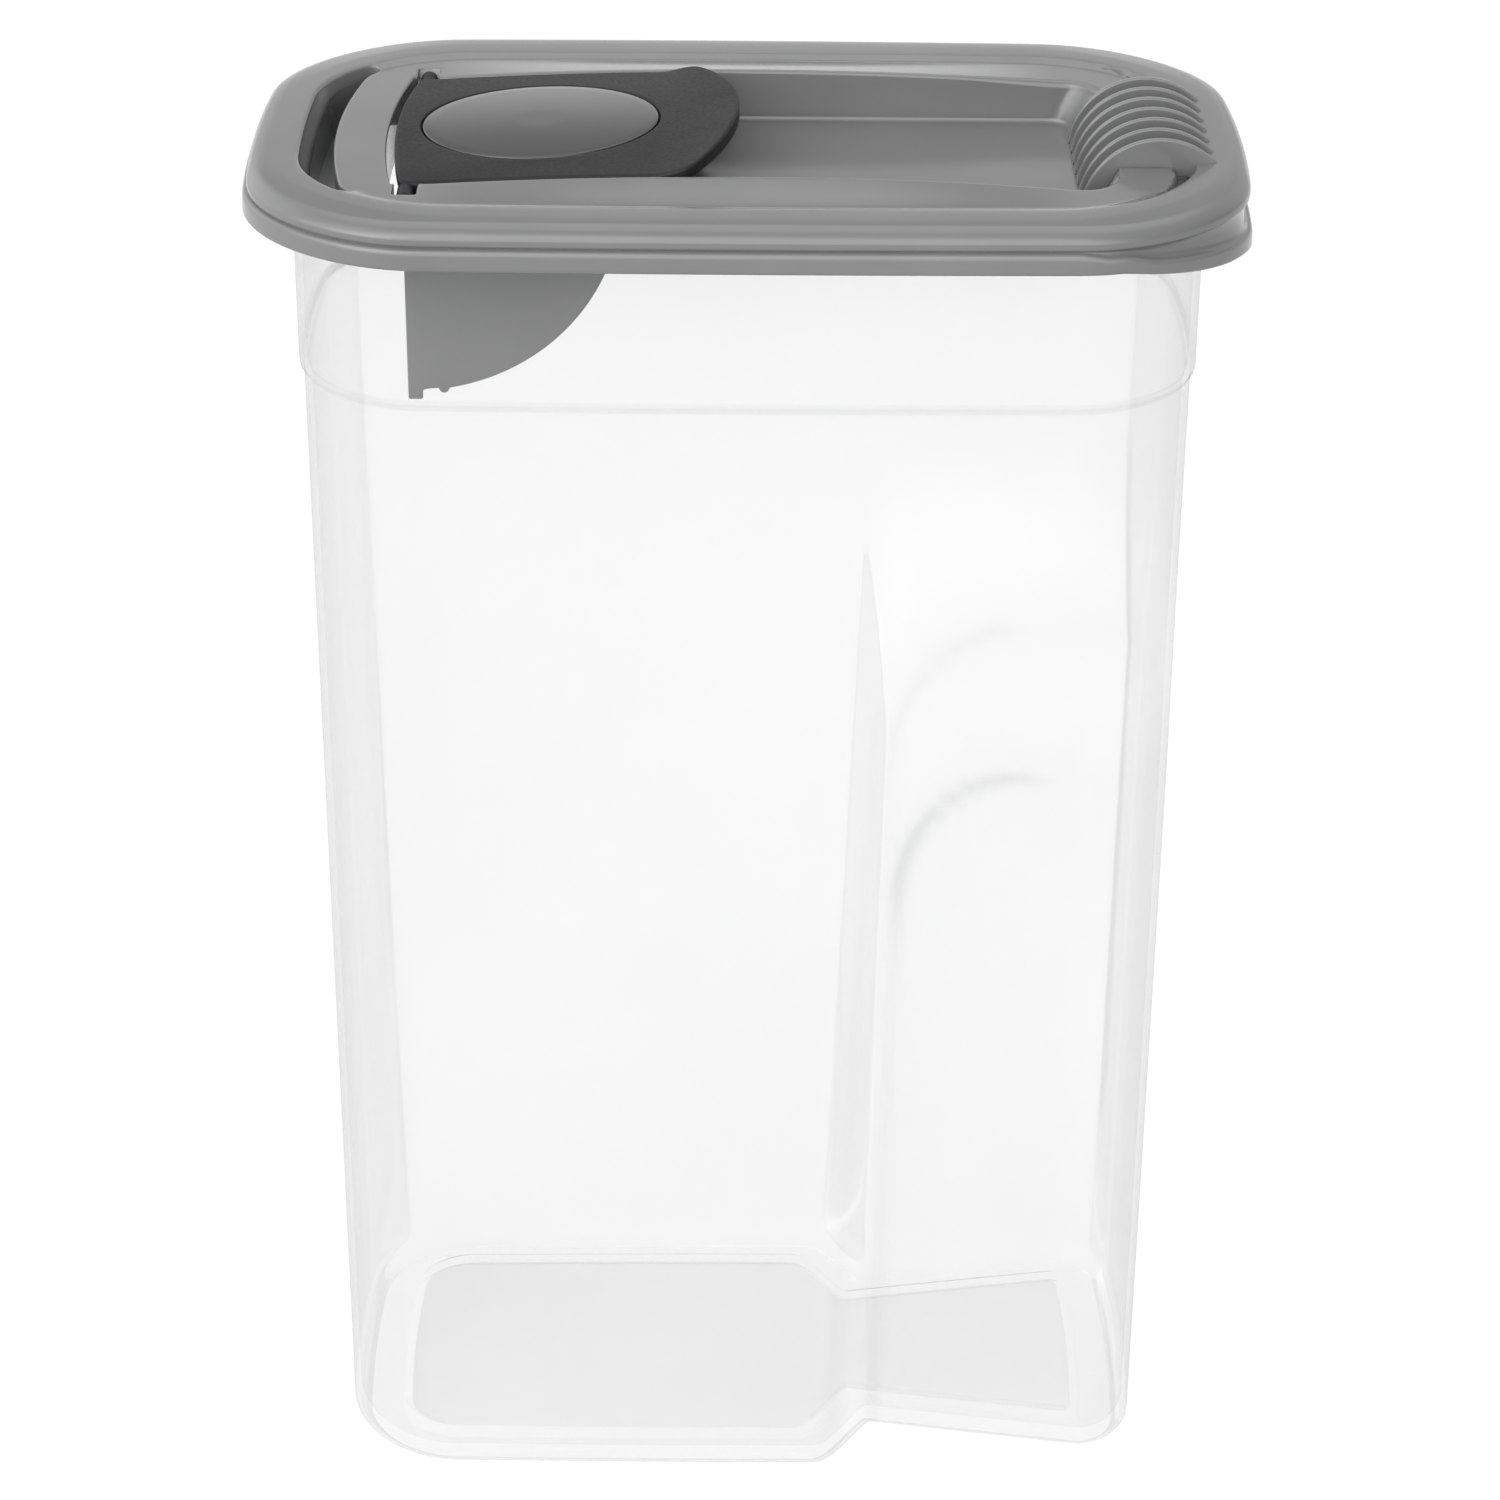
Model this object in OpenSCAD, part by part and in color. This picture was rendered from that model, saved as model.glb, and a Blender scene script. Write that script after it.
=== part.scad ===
// Tall plastic container for cereal, with a press-on lid and a flip spout.
// The container stands on its foot at z = 0. X runs along its length, from the spout at -X
// to the finger grip at +X, and the front and the back are mirror images in Y.

/* [Container] */
// How far the container's ends stand in from the lid's rim
body_in = 9.2; // [8.6:0.1:10.4]
// How far the container's front and back stand in from the lid's rim
body_in_side = 12.2; // [11:0.1:13]
// Distance from the lid's top down to the step, where the container becomes a little wider
step_drop = 41; // [38:1:46]
// How far the container widens at the step
step_out = 0.9; // [0.6:0.1:1.6]
// Taper of each wall from the step down to the foot
taper = 0.35; // [0:0.05:1.5]
// Corner radius at the step
body_corner = 22.6; // [21.6:0.2:24.6]
// Corner radius at the foot
foot_corner = 22.2; // [21:0.2:24]
// Thickness of the container's wall
wall = 1.5; // [1.2:0.1:1.8]

/* [Finger grip] */
// Left edge of the grip at the foot
grip_x = 17; // [14:0.5:20]
// Depth of the grip at its deepest, beside its left edge
grip_depth = 14.5; // [8:0.5:16]
// How much shallower the grip becomes for each millimetre to the right
grip_flare = 0.182; // [0.1:0.002:0.2]
// Distance from the step down to where the grip begins to sink in
grip_drop = 39; // [25:1:55]
// Height over which the grip sinks in
grip_slope = 45; // [35:1:60]
// Radius of the container's corner beside the grip
grip_corner = 11; // [9:0.5:13]

/* [Lid] */
// Length of the lid's rim
lid_len = 191.4; // [184:0.2:200]
// Width of the lid's rim, front to back
lid_wid = 112.8; // [111:0.2:120]
// Corner radius of the lid's rim
lid_corner = 32.3; // [31:0.1:34]
// Height of the lid's top face
lid_z = 290; // [255:1:330]
// How far the skirt's lower edge flares out past the rim
flare = 1; // [0.6:0.1:1.8]
// Distance from the lid's top down to the skirt's lower edge
skirt_drop = 8.4; // [7.6:0.1:8.8]
// How far the pull lip hangs below the skirt at the right end
lip_drop = 6; // [4:0.5:9]
// Height of the crown of the lid's inner part and of the cover, in the middle of the length
crown = 2; // [1:0.1:2.4]
// How far the middle of the front and of the back bulges out
bow = 1.4; // [0.6:0.1:2]
// How far the middle of each end bulges out
end_bow = 4.7; // [3.5:0.1:5.5]

/* [Well and spout] */
// Half the width of the well, front to back
well_half = 30.5; // [28.5:0.5:31]
// Depth of the well
well_depth = 9; // [7.5:0.5:10]
// Distance from the lid's right end to the well's upper edge
well_in = 25.6; // [25:0.2:28]
// Distance from the lid's left end to the spout's hinge
hinge_in = 31.5; // [30.5:0.1:33]
// Distance from the lid's top down to the spout's hinge
hinge_drop = 2.7; // [2.6:0.1:3]
// Radius of the hinge barrel
barrel_r = 1.7; // [1.5:0.1:1.8]
// Radius of the quarter-round cheeks
cheek_r = 40.5; // [36:0.5:41]
// Length of the cover with its tab
cover_len = 66.2; // [61:0.2:68]
// How far the tab's tip rises above the cover's arch
tab_lift = 4.1; // [1:0.1:4.4]

/* [Thumb ribs] */
// Number of ribs
ribs = 7; // [3:2:7]
// Distance from one rib to the next
rib_pitch = 6; // [5:0.1:6]
// Thickness of a rib
rib_t = 1.3; // [1:0.1:2]
// Radius of a rib's arched top
rib_r = 14.8; // [14.4:0.1:15.2]

/* [Hidden] */
$fn = 96;
eps = 0.01;
far = 400;

// Colours
clear_grey = [0.92, 0.93, 0.94, 0.35];
lid_grey = [0.50, 0.50, 0.51];
soft_black = [0.17, 0.17, 0.18];
gloss_grey = [0.33, 0.33, 0.34];

// Clearances
barrel_gap = 0.08;     // barrel in its seats
seat_gap = 0.3;        // lid on the container
plug_gap = 0.6;        // lid's plug ring in the container's mouth
cover_gap = 0.4;       // cover between the well's walls
inlay_gap = 0.3;       // groove round the badge

// Heights and lengths of the pieces, all taken from the lid's size
lid_t = 1.6;
plate_t = 2.5;
lid_a = lid_len / 2;
lid_b = lid_wid / 2;
body_a = lid_a - body_in;
body_b = lid_b - body_in_side;
step_z = lid_z - step_drop;
neck_z = lid_z - 12;
rim_z = lid_z - plate_t - 0.3;
skirt_z = lid_z - skirt_drop;
well_z = lid_z - well_depth;
well_right = lid_a - well_in;
grip_top = step_z - grip_drop;
grip_floor_top = grip_top - grip_slope;

// Stations along the front face, close together where the grip sinks in
left_x = [for (share = [-0.78, -0.39, 0]) share * (body_a - body_corner)];
grip_edge_x = [for (d = [-6, -2, 1, 3.5, 5.5, 7.5, 9.5, 11.5, 13.5, 16]) grip_x + d];
right_shares = [0.65, 0.74, 0.85, 0.95];
corner_steps = 7;
side_steps = 3;

// Heights up the wall as shares of the step's height, close together where the grip sinks in
wall_shares = [0.08, 0.18, 0.3, 0.4, 0.474, 0.522, 0.554, 0.582, 0.61, 0.635, 0.659, 0.683, 0.711,
               0.743, 0.775, 0.803, 0.827, 0.847, 0.916];
wall_z = [for (share = wall_shares) share * step_z];
foot_round = [[0, 3.4], [0.6, 1.6], [2, 0.45], [4.5, 0]];
floor_z = 2.6;
floor_ring = 11;
floor_rise = 1.6;
neck_a = body_a + step_out;
neck_b = body_b + step_out;
neck_corner = body_corner + step_out;

// Lid's rim, bead and plug ring
top_round = 3;
bead_a = lid_a - lid_t - seat_gap;
bead_b = lid_b - lid_t - seat_gap;
bead_corner = lid_corner - lid_t - seat_gap;
plug_a = neck_a - wall - plug_gap;
plug_b = neck_b - wall - plug_gap;
plug_corner = neck_corner - wall - plug_gap;
plug_z = neck_z - 1;
rim_drop = 4.2;
web_in = 0.4;
band_h = 3.2;
band_lip_h = 3.1;
channel_a = lid_a - 9.7;
channel_b = lid_b - 11.1;
channel_corner = lid_corner - 4.5;
channel_w = 0.8;
channel_d = 1.4;
plateau_right = lid_a - 14.5;
plateau_corner = 18;
lip_from = lid_a - 30;
lip_knee = lid_a - 3.5;
lip_to = lid_a - 0.2;

// Pocket at the lid's left end
pocket_a = plug_a - lid_t;
pocket_b = plug_b - lid_t;
pocket_corner = plug_corner - lid_t;
pocket_z = lid_z - 11.4;
pocket_lead = 4;
tongue_x = 3.9 - pocket_a;
tongue_r = 155;
pocket_right = 9.7 - pocket_a;

// Spout
hinge_x = hinge_in - lid_a;
hinge_z = lid_z - hinge_drop;
cover_half = well_half - cover_gap;
cover_t = 1.8;
cover_left = hinge_x - 3.9;
cover_bow_r = 177;
tab_x = cover_left + cover_len;
tab_from = tab_x - 15.4;
tab_r = 54;
tab_corner = 5;
tab_thicken = 1.4;
cheek_t = 1.5;
cheek_half = cover_half - 0.7;
chute_plate_t = 1.5;
foot_r = cheek_r + 1.8;
foot_w = 2.8;
bump_turn = 8.4;
bump_r = 1.1;
pin_half = well_half + 5.1;

// Well and pour opening
opening_right = hinge_x + cheek_r + 0.7;
opening_left = cover_left - 1.6;
floor_t = 1.8;
well_slope = 5.6;
scoop_half = (ribs - 1) / 2 * rib_pitch + 1.6;
scoop_right = lid_a - 17.5;
scoop_z = lid_z - 6.4;
rib_x = lid_a - 17.7;
rib_top = lid_z + 4.6;
notch_w = 4.4;
notch_d = 5.5;
seat_block = 7.3;

// Badge
badge_x = cover_left + 27.8;
badge_half_len = 22.8;
badge_half_wid = 20.8;
badge_proud = 0.2;
badge_seat = 0.9;

function lerp(a, b, t) = a + (b - a) * t;
function smooth(t) = t * t * (3 - 2 * t);

// Height of the lid's crowned inner part and of the cover above a place along the length
function crown_z(x) = lid_z - 0.8 + crown * max(0, 1 - pow(x / (lid_a - 34), 2));

// Front half of a rounded rectangle, from its left end round the front to its right end,
// whose right corner can have another radius and stand back by a depth
function front_half(a, b, r, right_r, back) = [
    for (p = concat(
        [for (k = [0 : side_steps - 1]) [-a, -(b - r) * k / side_steps]],
        [for (k = [0 : corner_steps])
            let (t = 90 * k / corner_steps) [-(a - r) - r * cos(t), -(b - r) - r * sin(t)]],
        [for (x = concat(left_x, grip_edge_x)) [x, -b]],
        [for (share = right_shares) [share * (a - right_r), -b]],
        [for (k = [corner_steps : -1 : 0])
            let (t = 90 * k / corner_steps)
            [a - right_r + right_r * cos(t), -(b - back - right_r) - right_r * sin(t)]],
        [for (k = [side_steps - 1 : -1 : 0]) [a, -(b - back - right_r) * k / side_steps]]))
    p];

// The same half with its ends and its front bulging out in the middle
function bowed(half, a, b) = [
    for (p = half)
        [p[0] * (1 - end_bow / a * pow(p[1] / lid_b, 2)), p[1] * (1 - bow / b * pow(p[0] / lid_a, 2))]];

// Whole outline from its front half, which the back half mirrors
function whole(half) = concat(half, [for (k = [len(half) - 2 : -1 : 1]) [half[k][0], -half[k][1]]]);

function outline(a, b, r) = whole(bowed(front_half(a, b, r, r, 0), a, b));

// Left edge, top and corner radii of the grip's contour that lies a share t of the way down
function grip_left(t, z) = grip_x + lerp(0.045 * z, 12 + 0.018 * z, t);
function grip_roof(t) = lerp(grip_top, grip_floor_top, t);
function in_grip(t, x, z) =
    let (rx = lerp(12, 24, t), rz = lerp(17, 30, t),
         u = max(0, (grip_left(t, z) + rx - x) / rx),
         v = max(0, (z - grip_roof(t) + rz) / rz))
    x > grip_left(t, z) && z < grip_roof(t) && u * u + v * v < 1;

// Share of the full depth at a place on the wall, found by halving the interval
function grip_share(x, z, low = 0, high = 1, turns = 7) =
    !in_grip(0, x, z) ? 0
    : in_grip(1, x, z) ? 1
    : turns == 0 ? (low + high) / 2
    : let (mid = (low + high) / 2)
      in_grip(mid, x, z) ? grip_share(x, z, mid, high, turns - 1) : grip_share(x, z, low, mid, turns - 1);

function grip_sink(x, z) = smooth(grip_share(x, z)) * (grip_depth - grip_flare * max(0, x - grip_x - 13));

// Outline of the container's body at height z, moved in by inset
function body_ring(z, inset) =
    let (k = z / step_z,
         a = body_a - taper * (1 - k) - inset,
         b = body_b - taper * (1 - k) - inset,
         r = lerp(foot_corner, body_corner, k) - inset,
         share = smooth(grip_share(body_a - 14, z + inset / 2)),
         right_r = lerp(r, max(2, grip_corner - inset), share),
         back = grip_sink(a - right_r + inset / 2, z + inset / 2),
         half = [for (p = front_half(a, b, r, right_r, back))
             [p[0], -min(-p[1], b - grip_sink(p[0] + inset / 2, z + inset / 2))]])
    at_z(whole(bowed(half, a, b)), z);

function at_z(loop, z) = [for (p = loop) [p[0], p[1], z]];
function neck_ring(z, out) = at_z(outline(neck_a + out, neck_b + out, neck_corner + out), z);
function rim_ring(z, inset) = at_z(outline(bead_a - inset, bead_b - inset, bead_corner - inset), z);

// Closed solid through a list of rings with equal numbers of points, whose caps join each
// point of the front half to its mirror image at the back
module loft(rings) {
    n = len(rings[0]);
    last = len(rings) - 1;
    sides = [for (k = [0 : last - 1], i = [0 : n - 1])
        let (j = (i + 1) % n)
        each [[k * n + i, (k + 1) * n + i, k * n + j], [k * n + j, (k + 1) * n + i, (k + 1) * n + j]]];
    cap = [for (i = [0 : n / 2 - 1])
        let (s = (n - i) % n, t = n - i - 1)
        each concat(s == i ? [] : [[i, i + 1, s]], t == i + 1 ? [] : [[i + 1, t, s]])];
    last_cap = [for (f = cap) [last * n + f[0], last * n + f[2], last * n + f[1]]];
    polyhedron([for (ring = rings) each ring], concat(sides, cap, last_cap));
}

module container() {
    outer = concat(
        [body_ring(floor_rise, floor_ring + 1.5), body_ring(0, floor_ring)],
        [for (p = foot_round) body_ring(p[0], p[1])],
        [for (z = wall_z) body_ring(z, 0)],
        [body_ring(step_z - 1, 0)],
        [neck_ring(step_z + 1, 0), neck_ring(neck_z, 0), neck_ring(neck_z + 2, 1.6),
         rim_ring(neck_z + 4, 1), rim_ring(neck_z + 4.8, 0), rim_ring(rim_z - 0.6, 0),
         rim_ring(rim_z, 0.6)]);
    inner = concat(
        [rim_ring(rim_z, 1.4), rim_ring(neck_z + 5.6, 1.6), neck_ring(neck_z + 2.2, 0.6 - wall / 2),
         neck_ring(neck_z, -wall), neck_ring(step_z + 1.6, -wall), body_ring(step_z - 0.6, wall)],
        [for (k = [len(wall_z) - 1 : -1 : 0]) body_ring(wall_z[k], wall)],
        [body_ring(8, wall), body_ring(4.6, wall + 1), body_ring(floor_z, wall + 4),
         body_ring(floor_z, floor_ring), body_ring(floor_z + floor_rise, floor_ring + 1.5)]);
    color(clear_grey) loft(concat(outer, inner));
}

// Solid between two heights, with the outline of a rounded rectangle
module slab(a, b, r, low, high) {
    translate([0, 0, low]) linear_extrude(high - low) polygon(outline(a, b, r));
}

// Rounded top of the rim and the wall under it, which stands back a little
module rim_block() {
    slab(lid_a - web_in, lid_b - web_in, lid_corner - web_in, skirt_z + 1, lid_z - rim_drop + 1);
    hull() {
        slab(lid_a, lid_b, lid_corner, lid_z - rim_drop, lid_z - top_round);
        slab(lid_a - 0.9, lid_b - 0.9, lid_corner - 0.9, lid_z - 1, lid_z - 0.9);
        slab(lid_a - top_round, lid_b - top_round, lid_corner - top_round, lid_z - eps, lid_z);
    }
}

// Band that stands out along the skirt's lower edge, as far as the lip
module skirt_flare() {
    intersection() {
        hull() {
            slab(lid_a + flare, lid_b + flare, lid_corner + flare, skirt_z, skirt_z + band_h);
            slab(lid_a - web_in, lid_b - web_in, lid_corner - web_in, skirt_z, skirt_z + band_h + 0.9);
        }
        box([-far, -far, 0], [lip_from + eps, far, far]);
    }
}

// Side view of the lip between its lower edge and a line that runs a height above it
module lip_profile(height, end_height) {
    knee = skirt_z - 0.7 * lip_drop;
    low = skirt_z - lip_drop;
    rotate([90, 0, 0]) linear_extrude(far, center = true)
        polygon([[lip_from, skirt_z + height], [lip_from, skirt_z], [lip_knee, knee], [lip_to, low],
                 [far, low], [far, low + end_height], [lip_to, low + end_height],
                 [lip_knee, knee + end_height]]);
}

// Lip at the right end: a thin wall that hangs lowest at the end, with the band along its edge
module pull_lip() {
    low = skirt_z - lip_drop - 1;
    intersection() {
        slab(lid_a - web_in, lid_b - web_in, lid_corner - web_in, low, skirt_z + 1.5);
        lip_profile(far / 8, far / 8);
    }
    intersection() {
        slab(lid_a + flare, lid_b + flare, lid_corner + flare, low, skirt_z + band_h + 0.4);
        lip_profile(band_h + 0.4, band_lip_h);
    }
}

// Side view of a layer that follows the crown, from one depth below its top to another
module crowned(deep, shallow, from, to) {
    steps = 24;
    at = [for (k = [0 : steps]) lerp(from, to, k / steps)];
    rotate([90, 0, 0]) linear_extrude(far, center = true)
        polygon(concat([for (x = at) [x, crown_z(x) - deep]],
                       [for (k = [steps : -1 : 0]) [at[k], crown_z(at[k]) - shallow]]));
}

// Inner part of the lid between the rim and the well, crowned along its length
module plateau() {
    half = lid_a - 34;
    slab(channel_a - 0.5, channel_b - 0.5, channel_corner - 0.5, lid_z - plate_t, lid_z - 0.8);
    intersection() {
        slab(channel_a - 0.5, channel_b - 0.5, channel_corner - 0.5, lid_z - plate_t, lid_z + 3);
        crowned(crown + 1, 0, -half, half);
    }
}

// Channel between the rim and the plateau: fine along the front and the back, wider at the right
module rim_channel() {
    difference() {
        slab(channel_a, channel_b, channel_corner, lid_z - channel_d, lid_z + 3);
        slab(channel_a - channel_w, channel_b - channel_w, channel_corner - channel_w,
             lid_z - channel_d - 1, lid_z + 4);
    }
    intersection() {
        difference() {
            slab(channel_a, channel_b, channel_corner, lid_z - channel_d, lid_z + 3);
            slab(plateau_right, channel_b - channel_w, plateau_corner, lid_z - channel_d - 1, lid_z + 4);
        }
        box([lid_a - 30, -far, 0], [far, far, far]);
    }
}

// Box between two corners
module box(low, high) {
    translate(low) cube(high - low);
}

// Crescent pocket at the left end, grown by a wall on request
module pocket(grow, low, high) {
    intersection() {
        slab(pocket_a + grow, pocket_b + grow, pocket_corner + grow, low, high);
        difference() {
            box([-far, -far, low], [pocket_right + grow, far, high]);
            translate([tongue_x + tongue_r, 0, low - 1])
                cylinder(h = high - low + 2, r = tongue_r - grow, $fn = 180);
        }
    }
}

// Mouth of the pocket, which opens out towards the rim
module pocket_mouth() {
    intersection() {
        hull() {
            slab(pocket_a, pocket_b, pocket_corner, lid_z - pocket_lead, lid_z - pocket_lead + 0.1);
            slab(channel_a + 0.2, channel_b + 0.2, channel_corner + 0.2, lid_z, lid_z + 3);
        }
        difference() {
            box([-far, -far, lid_z - 9], [pocket_right, far, lid_z + 3]);
            translate([tongue_x + tongue_r, 0, 0]) cylinder(h = far, r = tongue_r, $fn = 180);
        }
    }
}

// Well with a curved left end, as a solid between two heights
module well(grow, right, low, high) {
    intersection() {
        box([-far, -well_half - grow, low], [right, well_half + grow, high]);
        translate([opening_left + cover_bow_r, 0, low])
            cylinder(h = high - low, r = cover_bow_r + grow, $fn = 180);
    }
}

// Plan of the well's right end, with elliptical corners
module well_end_plan(right, rx, ry) {
    steps = 8;
    corner = [for (k = [0 : steps])
        let (t = 90 * k / steps) [right - rx + rx * cos(t), well_half - ry + ry * sin(t)]];
    polygon(concat([[0, -well_half]], [for (k = [steps : -1 : 0]) [corner[k][0], -corner[k][1]]],
                   corner, [[0, well_half]]));
}

// Right end of the well, whose end wall leans outwards
module well_end() {
    hull() {
        translate([0, 0, well_z]) linear_extrude(eps) well_end_plan(well_right - well_slope, 5, 4);
        translate([0, 0, lid_z]) linear_extrude(4) well_end_plan(well_right, 7, 11);
    }
}

// Arched ribs for the thumb, over the scoop at the right end
module thumb_ribs() {
    for (k = [0 : ribs - 1]) {
        y = (k - (ribs - 1) / 2) * rib_pitch;
        intersection() {
            translate([rib_x, y, rib_top - rib_r]) rotate([90, 0, 0])
                cylinder(h = rib_t, r = rib_r, center = true, $fn = 120);
            union() {
                box([0, y - rib_t, well_z - 0.4], [well_right - well_slope + 1, y + rib_t, far]);
                box([0, y - rib_t, scoop_z - 0.4], [scoop_right + eps, y + rib_t, far]);
                box([0, y - rib_t, lid_z - channel_d - 0.4], [far, y + rib_t, far]);
            }
        }
    }
}

// Notch in the plateau and the round seat below it, for one end of the hinge barrel
module barrel_seat(side) {
    translate([hinge_x, side * (well_half - eps), 0]) scale([1, side, 1]) {
        translate([-notch_w / 2, 0, hinge_z + 0.6]) cube([notch_w, notch_d, far]);
        translate([-barrel_r - barrel_gap, 0, hinge_z])
            cube([2 * (barrel_r + barrel_gap), notch_d, 3]);
        translate([0, notch_d, hinge_z]) rotate([90, 0, 0])
            cylinder(h = notch_d, r = barrel_r + barrel_gap);
    }
}

module lid() {
    color(lid_grey) difference() {
        union() {
            difference() {
                union() {
                    rim_block();
                    skirt_flare();
                    pull_lip();
                    plateau();
                }
                slab(lid_a - lid_t, lid_b - lid_t, lid_corner - lid_t, 0, lid_z - plate_t);
                rim_channel();
            }
            slab(plug_a, plug_b, plug_corner, plug_z, lid_z - plate_t + eps);
        }
        difference() {
            slab(plug_a - lid_t, plug_b - lid_t, plug_corner - lid_t, 0, lid_z - plate_t);
            well(lid_t, well_right + 0.4, well_z - floor_t, far);
            pocket(lid_t, pocket_z - lid_t, far);
            box([well_right - 1, -scoop_half - lid_t, scoop_z - lid_t],
                [far, scoop_half + lid_t, far]);
            for (side = [-1, 1])
                translate([hinge_x, side * (well_half + seat_block / 2), hinge_z - 1])
                    cube([2 * seat_block, seat_block, 2 * seat_block], center = true);
        }
        well(0, well_right - 20, well_z, far);
        well(0, opening_right, 0, far);
        well_end();
        pocket(0, pocket_z, far);
        pocket_mouth();
        box([well_right - 5, -scoop_half, scoop_z], [scoop_right, scoop_half, far]);
        barrel_seat(-1);
        barrel_seat(1);
    }
    color(lid_grey) thumb_ribs();
}

// Quarter-round cheek with its stop foot and its detent bump
module cheek() {
    rotate([90, 0, 0]) linear_extrude(cheek_t, center = true) difference() {
        union() {
            intersection() {
                circle(r = cheek_r, $fn = 180);
                translate([-1, -far]) square([far, far]);
            }
            intersection() {
                circle(r = cheek_r, $fn = 180);
                polygon(concat([[-1, -1]], [for (k = [0 : 12])
                    let (x = -1 + 3.5 * k) [x, crown_z(hinge_x + x) - cover_t - hinge_z]], [[41, -1]]));
            }
            translate([-1, -foot_r]) square([foot_w, foot_r - 30]);
            rotate(bump_turn) translate([0, -cheek_r + bump_r / 2]) circle(r = bump_r, $fn = 32);
        }
        circle(r = barrel_r + barrel_gap);
    }
}

module spout_chute() {
    color(lid_grey) {
        for (side = [-1, 1])
            translate([hinge_x, side * (cheek_half - cheek_t / 2), hinge_z]) cheek();
        intersection() {
            crowned(cover_t + chute_plate_t, cover_t, hinge_x + barrel_r + 0.6, hinge_x + cheek_r - 1.5);
            box([-far, -cheek_half, 0], [far, cheek_half, far]);
        }
    }
}

// Outline of the cover: bowed left end, straight sides and a rounded tab
module cover_outline() {
    reach = tab_r - tab_corner;
    corner_y = cover_half - tab_corner;
    corner_x = tab_x - tab_r + sqrt(reach * reach - corner_y * corner_y);
    turn = asin(corner_y / reach);
    half = concat(
        [for (k = [0 : 6]) let (t = turn * k / 6) [tab_x - tab_r + tab_r * cos(t), tab_r * sin(t)]],
        [for (k = [1 : 6]) let (t = lerp(turn, 90, k / 6))
            [corner_x + tab_corner * cos(t), corner_y + tab_corner * sin(t)]],
        [for (k = [8 : -1 : 0]) let (y = cover_half * k / 8)
            [cover_left + cover_bow_r - sqrt(cover_bow_r * cover_bow_r - y * y), y]]);
    last = len(half) - 1;
    polygon(concat(half, [for (k = [last - 1 : -1 : 1]) [half[k][0], -half[k][1]]]));
}

module spout_cover() {
    color(soft_black) difference() {
        union() {
            intersection() {
                translate([0, 0, lid_z - 4]) linear_extrude(tab_lift + 8) cover_outline();
                cover_profile();
            }
            translate([hinge_x, 0, hinge_z]) rotate([90, 0, 0])
                cylinder(h = 2 * pin_half, r = barrel_r, center = true);
        }
        intersection() {
            translate([0, 0, lid_z - 4]) linear_extrude(8) oval(inlay_gap);
            crowned(badge_seat, -2, cover_left, badge_x + 30);
        }
    }
}

// Side view of the cover: it follows the lid's crown, then rises to the tip of the tab
module cover_profile() {
    steps = 12;
    tab_steps = 8;
    at = concat([for (k = [0 : steps - 1]) lerp(cover_left - 1, tab_from, k / steps)],
                [for (k = [0 : tab_steps]) lerp(tab_from, tab_x + 1, k / tab_steps)]);
    last = len(at) - 1;
    rise = [for (x = at) pow(max(0, (x - tab_from) / (tab_x - tab_from)), 1.15)];
    rotate([90, 0, 0]) linear_extrude(far, center = true)
        polygon(concat(
            [for (k = [0 : last]) [at[k], crown_z(at[k]) - cover_t + (tab_lift - tab_thicken) * rise[k]]],
            [for (k = [last : -1 : 0]) [at[k], crown_z(at[k]) + tab_lift * rise[k]]]));
}

// Oval outline, grown all round
module oval(grow) {
    steps = 72;
    translate([badge_x, 0]) polygon([for (k = [0 : steps - 1])
        let (t = 360 * k / steps)
        [(badge_half_len + grow) * cos(t), (badge_half_wid + grow) * sin(t)]]);
}

module badge() {
    color(gloss_grey) intersection() {
        translate([0, 0, lid_z - 4]) linear_extrude(8) oval(0);
        crowned(badge_seat, -badge_proud, cover_left, badge_x + 30);
    }
}

container();
lid();
spout_chute();
spout_cover();
badge();
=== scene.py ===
import math

import bmesh
import bpy
import numpy as np
from mathutils import Matrix, Vector
from mathutils.geometry import delaunay_2d_cdt


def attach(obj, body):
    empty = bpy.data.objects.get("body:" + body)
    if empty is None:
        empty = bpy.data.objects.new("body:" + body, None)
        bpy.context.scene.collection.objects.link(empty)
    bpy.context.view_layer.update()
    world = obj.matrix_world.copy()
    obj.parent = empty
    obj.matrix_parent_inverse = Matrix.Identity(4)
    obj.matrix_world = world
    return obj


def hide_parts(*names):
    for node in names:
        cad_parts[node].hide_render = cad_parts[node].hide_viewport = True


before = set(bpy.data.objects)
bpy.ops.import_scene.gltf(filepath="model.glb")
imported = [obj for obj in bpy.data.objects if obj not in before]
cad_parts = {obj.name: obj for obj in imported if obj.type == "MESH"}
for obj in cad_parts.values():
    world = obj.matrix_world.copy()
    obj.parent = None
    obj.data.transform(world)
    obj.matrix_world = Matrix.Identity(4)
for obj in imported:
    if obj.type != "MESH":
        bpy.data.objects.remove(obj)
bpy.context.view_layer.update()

MM = 0.001
WELD = 4e-6                                 # closer vertices are one, in metres

# ---------------------------------------------------------------- shared sizes, in millimetres
LID_A, LID_B, LID_R = 95.7, 56.4, 32.3      # half length, half width and corner of the lid's rim
LID_Z = 290.0                               # top of the rim
END_BOW, SIDE_BOW = 4.7, 1.4                # bulge of the ends and of the front and the back
CROWN_HALF, CROWN_RISE = 61.7, 2.0          # half length of the lid's crown and its rise in the middle
PLATEAU_DROP = 0.8                          # how far the plateau lies below the rim
HINGE = (-64.2, 287.3)                      # x and z of the spout's hinge
END_CURVE = 354.0                           # the well's and the cover's left end bows by y * y / END_CURVE
QUARTER = math.pi / 2


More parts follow.
